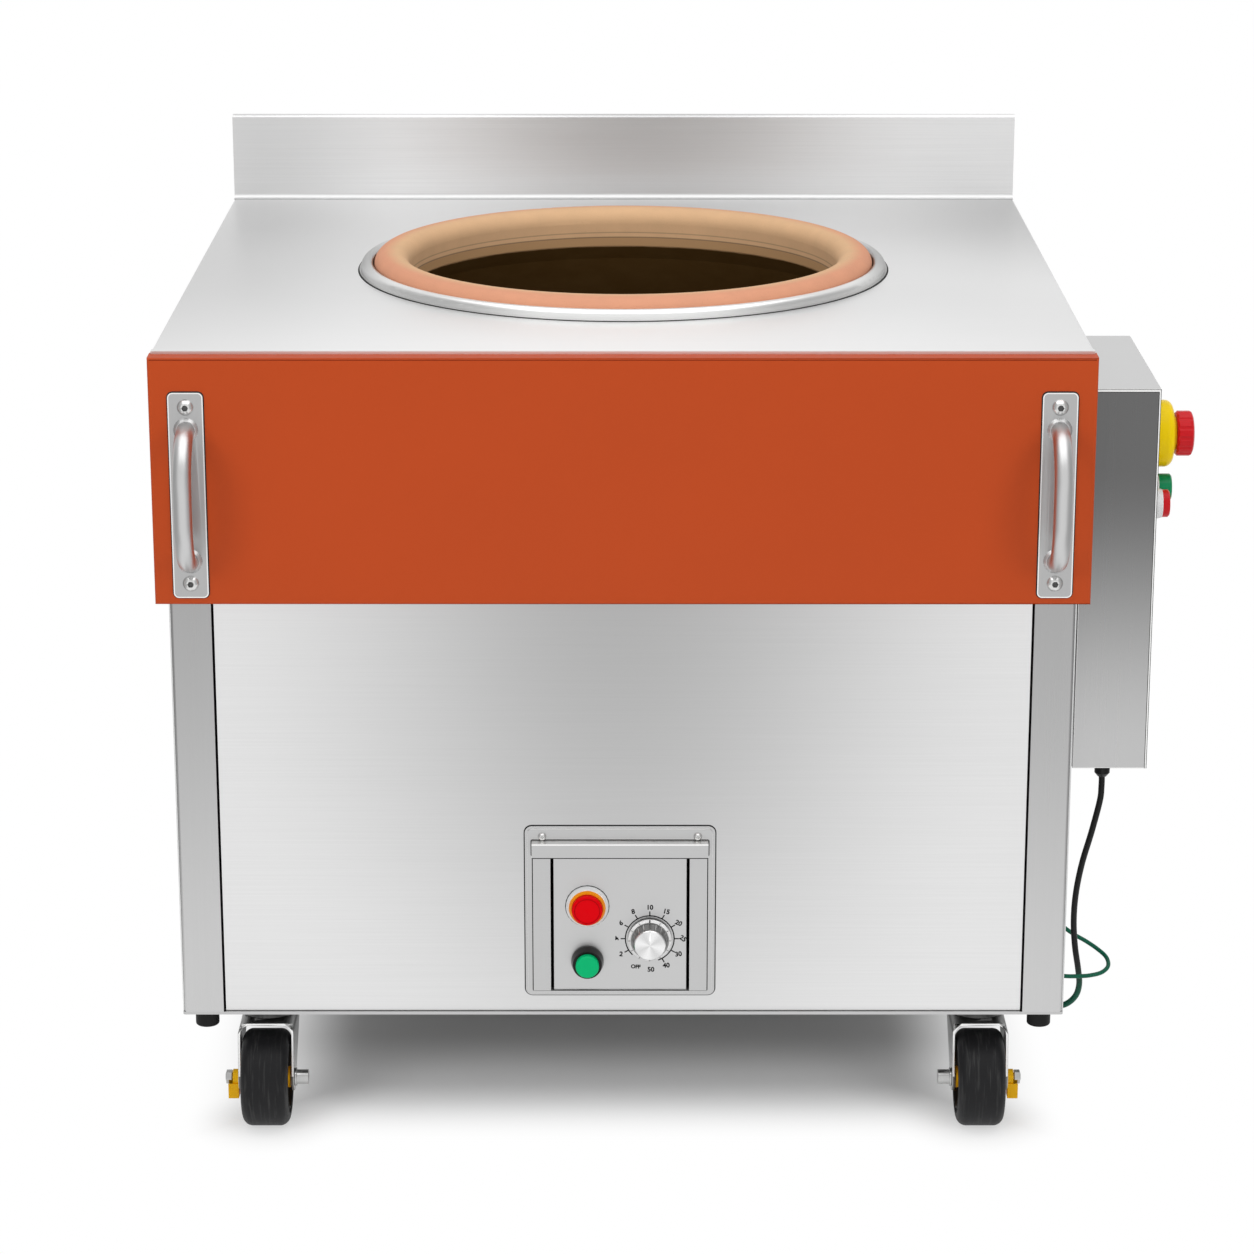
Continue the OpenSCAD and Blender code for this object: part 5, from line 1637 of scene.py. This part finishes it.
@dataclass
class ControlPanel:
    """The control panel low on the front.

    Attributes:
        ring: The tree for what repeats round the knob.
        corner: Radius of the frame's corners, in millimetres as all that follow.
        inner_corner: Radius of the window's and the rail's corners.
        frame_t: Thickness of the frame.
        rail_over: How far the rail passes the window on each side.
        rail_h: Height of the rail.
        rail_highlight: Height of the painted highlight along its top edge.
        side_gap: Guide bar and gap beside the control plate.
        line: Width of a dark joint, partly painted contact shade.
        window_line: Width of the one round the window.
        fine_line: Width of the painted shadow at the rail's foot and of the line round the lamp's
            bezel.
        lamp_line: Width of the ring on the lamp's cap.
        lamp_share: Its share of the cap's width.
        rail_lift: How far the lines on the rail's face stand off it.
        lamp_lift: How far the ring stands off the cap.
        lit_depth: Depth of the rail's top that takes the painted highlight.
    """

    ring: CopyRing
    corner: float = 7.0
    inner_corner: float = 0.5
    frame_t: float = 3.0
    rail_over: float = 1.0
    rail_h: float = 15.5
    rail_highlight: float = 1.5
    side_gap: float = 20.5
    line: float = 1.2
    window_line: float = 1.08
    fine_line: float = 0.9
    lamp_line: float = 0.6
    lamp_share: float = 0.8
    rail_lift: float = 0.03
    lamp_lift: float = 0.02
    lit_depth: float = 12.0

    def _lines(self) -> None:
        """Adds the dark joints of frame, window, rail and lamp, partly painted contact shade, the
        painted shadow under the rail and the painted highlight along the rail's top.
        """
        box, plate = Extent("control_frame"), Extent("control_plate")
        bezel, cap = Extent("lamp_bezel"), Extent("lamp_cap")
        x, _, z = box.middle
        sheet, rail_z = Extent("front_panel").low.y, plate.high.z
        face = sheet - self.frame_t * MM
        window_w = plate.size.x + 2 * self.side_gap
        rail_w = window_w + 2 * self.rail_over
        outer = band(box.size.x, box.size.z, self.corner, self.line)
        window = band(window_w, plate.size.z, self.inner_corner, self.window_line)
        rail = band(rail_w, self.rail_h, self.inner_corner, self.line)
        # Dark joints, partly painted contact shade.
        dark = LineWork("panel_joints_and_shade", JOINT_AND_SHADE, "control_frame")
        dark.add(outer, (x, sheet, z))
        dark.add(window, (x, face, plate.middle.z))
        dark.add(rail, (x, face, rail_z + self.rail_h / 2 * MM))
        # Painted shadow: a dark line along the rail's lower edge.
        foot = flat_bar(rail_w, self.fine_line)
        dark.add(foot, (x, box.low.y, rail_z), lift_mm=self.rail_lift)
        around = round_line(bezel.size.x, self.fine_line)
        dark.add(around, (bezel.middle.x, plate.low.y, bezel.middle.z)).build()
        # Painted highlight: a bright line along the rail's top edge.
        lip_z = rail_z + (self.rail_h - self.rail_highlight) * MM
        bright = LineWork("rail_highlight", PAINTED_HIGHLIGHT, "control_frame")
        lip = flat_bar(rail_w, self.rail_highlight)
        bright.add(lip, (x, box.low.y, lip_z), lift_mm=self.rail_lift).build()
        ring = round_line(cap.size.x * self.lamp_share, self.lamp_line)
        LineWork("lamp_line", LAMP_LINE, "lamp_cap").add(
            ring, (cap.middle.x, cap.low.y, cap.middle.z), lift_mm=self.lamp_lift
        ).build()

    def build(self) -> None:
        """Dresses the panel's pieces and adds the dial's print."""
        piece = rounded_node("control_frame", FRAME_STEEL, 1.0, PAINTED_EDGE_LIGHT)
        back = Extent("control_frame").low.y + self.lit_depth * MM
        # Painted highlight: the rail's top faces near the front take the bright finish.
        paint(piece, PAINTED_HIGHLIGHT, lambda face: face.normal.z > 0.9 and face.center.y < back)
        rounded_node("control_plate", PLATE_STEEL, 0.4)
        self._lines()
        # The tray takes the near-black painted shade finish.
        dress(control_tray=TRAY_SHADE_STEEL, lamp_bezel=WHITE, lamp_collar=AMBER, lamp_cap=LAMP_RED)
        dress(push_bezel=BLACK, push_cap=GREEN, switch_blocks=GREY_PLASTIC, timer_body=TAN_PLASTIC)
        Knob().build(self.ring)
        DialPrint().build(self.ring)


# ---- Control box ----


@dataclass
class ControlBox:
    """The control box on the right side, its door and its buttons.

    Attributes:
        base_rise: How far the emergency stop's base stands out, in millimetres.
        base_round: Radius of its shoulder.
        base_bore: Radius of its bore for the stem.
        base_steps: Steps round the shoulder.
        top_highlight: Width of the painted highlight at the front wall's top edge.
        side_highlight: Width of the one at its right edge.
        edge_shade_line: Width of the painted shade lines beside them.
        clear: How far these stay from the wall's edge.
        lid_depth: Depth of the shell's top that is dressed as its lid.
    """

    base_rise: float = 22.0
    base_round: float = 8.5
    base_bore: float = 17.15
    base_steps: int = 10
    top_highlight: float = 1.8
    side_highlight: float = 1.2
    edge_shade_line: float = 0.7
    clear: float = 0.1
    lid_depth: float = 1.0

    def _stop_base(self) -> None:
        """Replaces the emergency stop's base by one with a round shoulder."""
        base, rise, bend = Extent("estop_base"), self.base_rise, self.base_round
        radius = base.size.z / 2
        outline = [(self.base_bore, 0.0), (radius, 0.0)]
        for step in range(self.base_steps + 1):
            angle = math.radians(90.0 * step / self.base_steps)
            across = radius - bend * (1.0 - math.cos(angle))
            outline.append((across, rise - bend * (1.0 - math.sin(angle))))
        outline.append((self.base_bore, rise))
        centre = Vector((base.high.x - rise * MM, base.middle.y, base.middle.z))
        node = "estop_base"
        piece = turned_piece("estop_shoulder", outline, centre, Facing.RIGHT, YELLOW, node)
        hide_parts(node)

    def _edges(self) -> None:
        """Adds painted highlights at the front wall's top and right edges, with painted shade lines
        beside them.
        """
        box, line = Extent("box_body"), self.edge_shade_line
        left, front, foot = box.low / MM
        wall_top, right = box.high.z / MM, Extent("estop_base").high.x / MM - self.base_rise
        top, outer = wall_top - line, right - line
        under, inner = top - self.top_highlight, outer - self.side_highlight
        # Painted highlights along the top and right edges, and painted shade lines beside them.
        highlights = ((left, outer, under, top), (inner, outer, foot, under))
        joints = (
            (left, right, top, wall_top - self.clear),
            (left, inner, under - line, under),
            (outer, right - self.clear, foot, top),
            (inner - line, inner, foot, under),
        )
        for name, finish, sheets in (("box_highlights", PAINTED_HIGHLIGHT, highlights), ("box_edge_shade", JOINT_AND_SHADE, joints)):
            work = LineWork(name, finish, "box_body")
            for start, end, low, high in sheets:
                spot = Vector(((start + end) / 2, front, low)) * MM
                work.add(flat_bar(end - start, high - low), spot)
            work.build()

    def build(self) -> None:
        """Dresses the box's pieces."""
        body = rounded_node("box_body", BOX_STEEL, 1.0, PAINTED_EDGE_LIGHT, even=True)
        lid = Extent("box_body").high.z - self.lid_depth * MM
        paint(body, LID_STEEL, lambda face: face.normal.z > 0.95 and face.center.z > lid)
        rounded_node("box_door", CABINET, 1.0, PAINTED_EDGE_LIGHT)
        self._stop_base()
        self._edges()
        dress(box_brackets=ZINC, contactor=GREY_PLASTIC, cable_glands=BLACK)
        dress(estop_stem=YELLOW, estop_head=RED, door_bezels=WHITE, door_blocks=GREY_PLASTIC)
        dress(run_cap=RUN_GREEN, stop_cap=RED)


# ---- Casters ----


@dataclass
class Casters:
    """Plates, forks, hubs, tyres and brakes.

    Attributes:
        edge: Width of a fork's broken edges, in millimetres.
        brake_edge: Width of a brake lever's.
        lit_from: Height above a fork's foot from which its front edges take the painted highlight.
        fork_side: Distance from the tyre's side to the fork's outer face.
    """

    edge: float = 0.8
    brake_edge: float = 1.6
    lit_from: float = 22.0
    fork_side: float = 3.9

    def build(self) -> None:
        """Dresses the casters' pieces: the forks in darkened, painted shade steel, with a painted
        highlight on their front edges and chrome axles.
        """
        dress(caster_plates=DARK_ZINC)
        for name in ("front_left", "front_right", "rear_left", "rear_right"):
            tyre, tall = Extent("tyre_" + name), Extent("fork_" + name).low.z + self.lit_from * MM
            middle, outside = tyre.middle.x, (tyre.size.x / 2 + self.fork_side) * MM
            fork = rounded_node("fork_" + name, SHADED_FORK_ZINC, self.edge, even=True)
            # Painted highlight on the forks' front faces above their feet.
            paint(fork, PAINTED_HIGHLIGHT, lambda face: face.normal.y < -0.9 and face.center.z > tall)
            paint(fork, CHROME, lambda face: abs(face.center.x - middle) > outside)
            dress(**{"hub_" + name: WHEEL_YELLOW, "tyre_" + name: TYRE})
        for side in ("left", "right"):
            rounded_node("brake_" + side, WHEEL_YELLOW, self.brake_edge)


# ---- Studio ----


@dataclass(frozen=True)
class SoftLamp:
    """A rectangular soft lamp.

    Attributes:
        name: Its name.
        place: Its middle, in metres from the oven's foot.
        aim: The point that it faces, in metres.
        size: Width and height in metres.
        watts: Its power.
        mirrored: Whether metal mirrors it.
    """

    name: str
    place: Point
    aim: Point
    size: tuple[float, float]
    watts: float
    mirrored: bool = False

    def build(self) -> None:
        """Adds the lamp."""
        data = bpy.data.lights.new(self.name, "AREA")
        data.shape = "RECTANGLE"
        data.size, data.size_y = self.size
        data.energy = self.watts
        lamp = add_object(self.name, data)
        lamp.location = self.place
        aim = Vector(self.aim) - Vector(self.place)
        lamp.rotation_euler = aim.to_track_quat("-Z", "Y").to_euler()
        lamp.visible_glossy = self.mirrored


@dataclass
class Studio:
    """Floor, white surround and soft lamps.

    Attributes:
        floor_half: Half width of the floor. Distances are in metres.
        side_clear: Distances to the oven's sides between which the floor turns plain white.
        front_clear: Those behind the fascia's face.
        back_clear: Those behind the oven.
        foot_reach: Distances from a front wheel between which its shade fades.
        foot_shade: How much of the white that shade takes away.
        floor_tone: How pale the shaded floor is.
        deep: Distances behind the fascia's face between which it darkens.
        deep_shade: By how much.
        side_turn: Sideways directions between which metal sees the surround darker.
        side_far: Distances on the floor between which it does so.
        side_dark: How much darker it sees both.
        wall_turn: Upward directions between which metal sees the surround darker.
        wall_dark: How much darker it sees it.
        wall_tone: How bright it sees the rest.
        fill: How much light the surround gives.
        lamps: The soft lamps.
    """

    floor_half: float = 14.0
    side_clear: tuple[float, float] = (0.28, 0.46)
    front_clear: tuple[float, float] = (0.01, 0.165)
    back_clear: tuple[float, float] = (0.66, 0.9)
    foot_reach: tuple[float, float] = (0.02, 0.09)
    foot_shade: float = 0.35
    floor_tone: float = 0.92
    deep: tuple[float, float] = (0.18, 0.3)
    deep_shade: float = 0.36
    side_turn: tuple[float, float] = (0.55, 0.95)
    side_far: tuple[float, float] = (0.7, 1.3)
    side_dark: float = 0.5
    wall_turn: tuple[float, float] = (0.25, 0.95)
    wall_dark: float = 0.25
    wall_tone: float = 0.98
    fill: float = 0.44
    lamps: tuple[SoftLamp, ...] = (
        SoftLamp("overhead", (0.0, -0.5, 3.4), (0.0, 0.0, 0.6), (4.2, 3.6), 54.0, mirrored=True),
        SoftLamp("left", (-2.3, -3.0, 1.9), (0.0, 0.0, 0.5), (1.3, 1.9), 31.0),
        SoftLamp("right", (2.3, -3.0, 1.9), (0.0, 0.0, 0.5), (1.3, 1.9), 28.0),
    )

    def _floor(self) -> None:
        """Adds the floor, which keeps the oven's shadow."""
        material = bpy.data.materials.new("floor")
        material.use_nodes = True
        kit = TreeKit(material.node_tree)
        x, y, _ = kit.axes(ORIGIN)
        beside = x.size().step(*self.side_clear)
        before = 1.0 - y.step(*self.front_clear)
        share = beside.greatest(before).greatest(y.step(*self.back_clear))
        for node in ("tyre_front_left", "tyre_front_right"):
            wheel = Extent(node).middle
            dx, dy, _ = kit.axes(Vector((wheel.x, wheel.y, 0.0)))
            shade = 1.0 - kit.length(dx, dy).step(*self.foot_reach)
            share = share * (1.0 - shade * self.foot_shade)
        seen, gloss, clear = self._rays(kit)
        distance = kit.length(x, y)
        aside = (x.size() / distance).step(*self.side_turn) * distance.step(*self.side_far)
        tone = self.floor_tone - y.step(*self.deep) * self.deep_shade
        colour = kit.shade((1.0, 1.0, 1.0), tone)
        matte = kit.node("ShaderNodeBsdfDiffuse", {}, {"Color": colour})
        inputs = {"Color": (1.0, 1.0, 1.0), "Strength": 1.0 - gloss * aside * self.side_dark}
        white = kit.node("ShaderNodeEmission", {}, inputs)
        hit = seen.greatest(gloss).greatest(clear)
        mixed = kit.node("ShaderNodeMixShader", {}, {0: share * hit, 1: matte, 2: white})
        kit.node("ShaderNodeOutputMaterial", {}, {"Surface": mixed})
        form = bmesh.new()
        bmesh.ops.create_grid(form, x_segments=8, y_segments=8, size=self.floor_half)
        mesh = mesh_of("floor", form, None)
        mesh.materials.append(material)
        add_object("floor", mesh)

    @staticmethod
    def _rays(kit: TreeKit) -> tuple[Signal, Signal, Signal]:
        """Whether a ray comes from the camera, from gloss or through glass."""
        seen = kit.node("ShaderNodeLightPath", {}, {}, "Is Camera Ray")
        return seen, seen.pick("Is Glossy Ray"), seen.pick("Is Transmission Ray")

    def _surround(self) -> None:
        """Lights the oven softly from all round, before a white background."""
        world = bpy.data.worlds.new("surround")
        world.use_nodes = True
        bpy.context.scene.world = world
        kit = TreeKit(world.node_tree)
        seen, gloss, clear = self._rays(kit)
        mirrored = gloss.greatest(clear)
        direction = kit.node("ShaderNodeTexCoord", {}, {}, "Generated")
        across = kit.node("ShaderNodeSeparateXYZ", {}, {0: direction})
        above = across.pick("Z").step(*self.wall_turn)
        aside = across.size().step(*self.side_turn)
        wall = self.wall_tone - above * self.wall_dark - aside * self.side_dark
        level = seen + (1.0 - seen) * (mirrored * wall + (1.0 - mirrored) * self.fill)
        inputs = {"Color": (1.0, 1.0, 1.0), "Strength": level}
        shade = kit.node("ShaderNodeBackground", {}, inputs)
        kit.node("ShaderNodeOutputWorld", {}, {"Surface": shade})

    def build(self) -> None:
        """Adds the floor, the surround and the lamps."""
        self._floor()
        self._surround()
        for lamp in self.lamps:
            lamp.build()
        bpy.context.scene.view_settings.view_transform = "Standard"


def main() -> None:
    """Builds everything in order."""
    logging.basicConfig(level=logging.INFO, format="%(message)s")
    POWER_LEAD.build()
    EARTH_LEAD.build()
    Camera().build()
    panel = ControlPanel(CopyRing())
    for assembly in (Cabinet(), Mouth(), Handles(), panel, ControlBox(), Casters()):
        assembly.build()
        log.info("%s done", type(assembly).__name__)
    Studio().build()


if __name__ == "__main__":
    main()
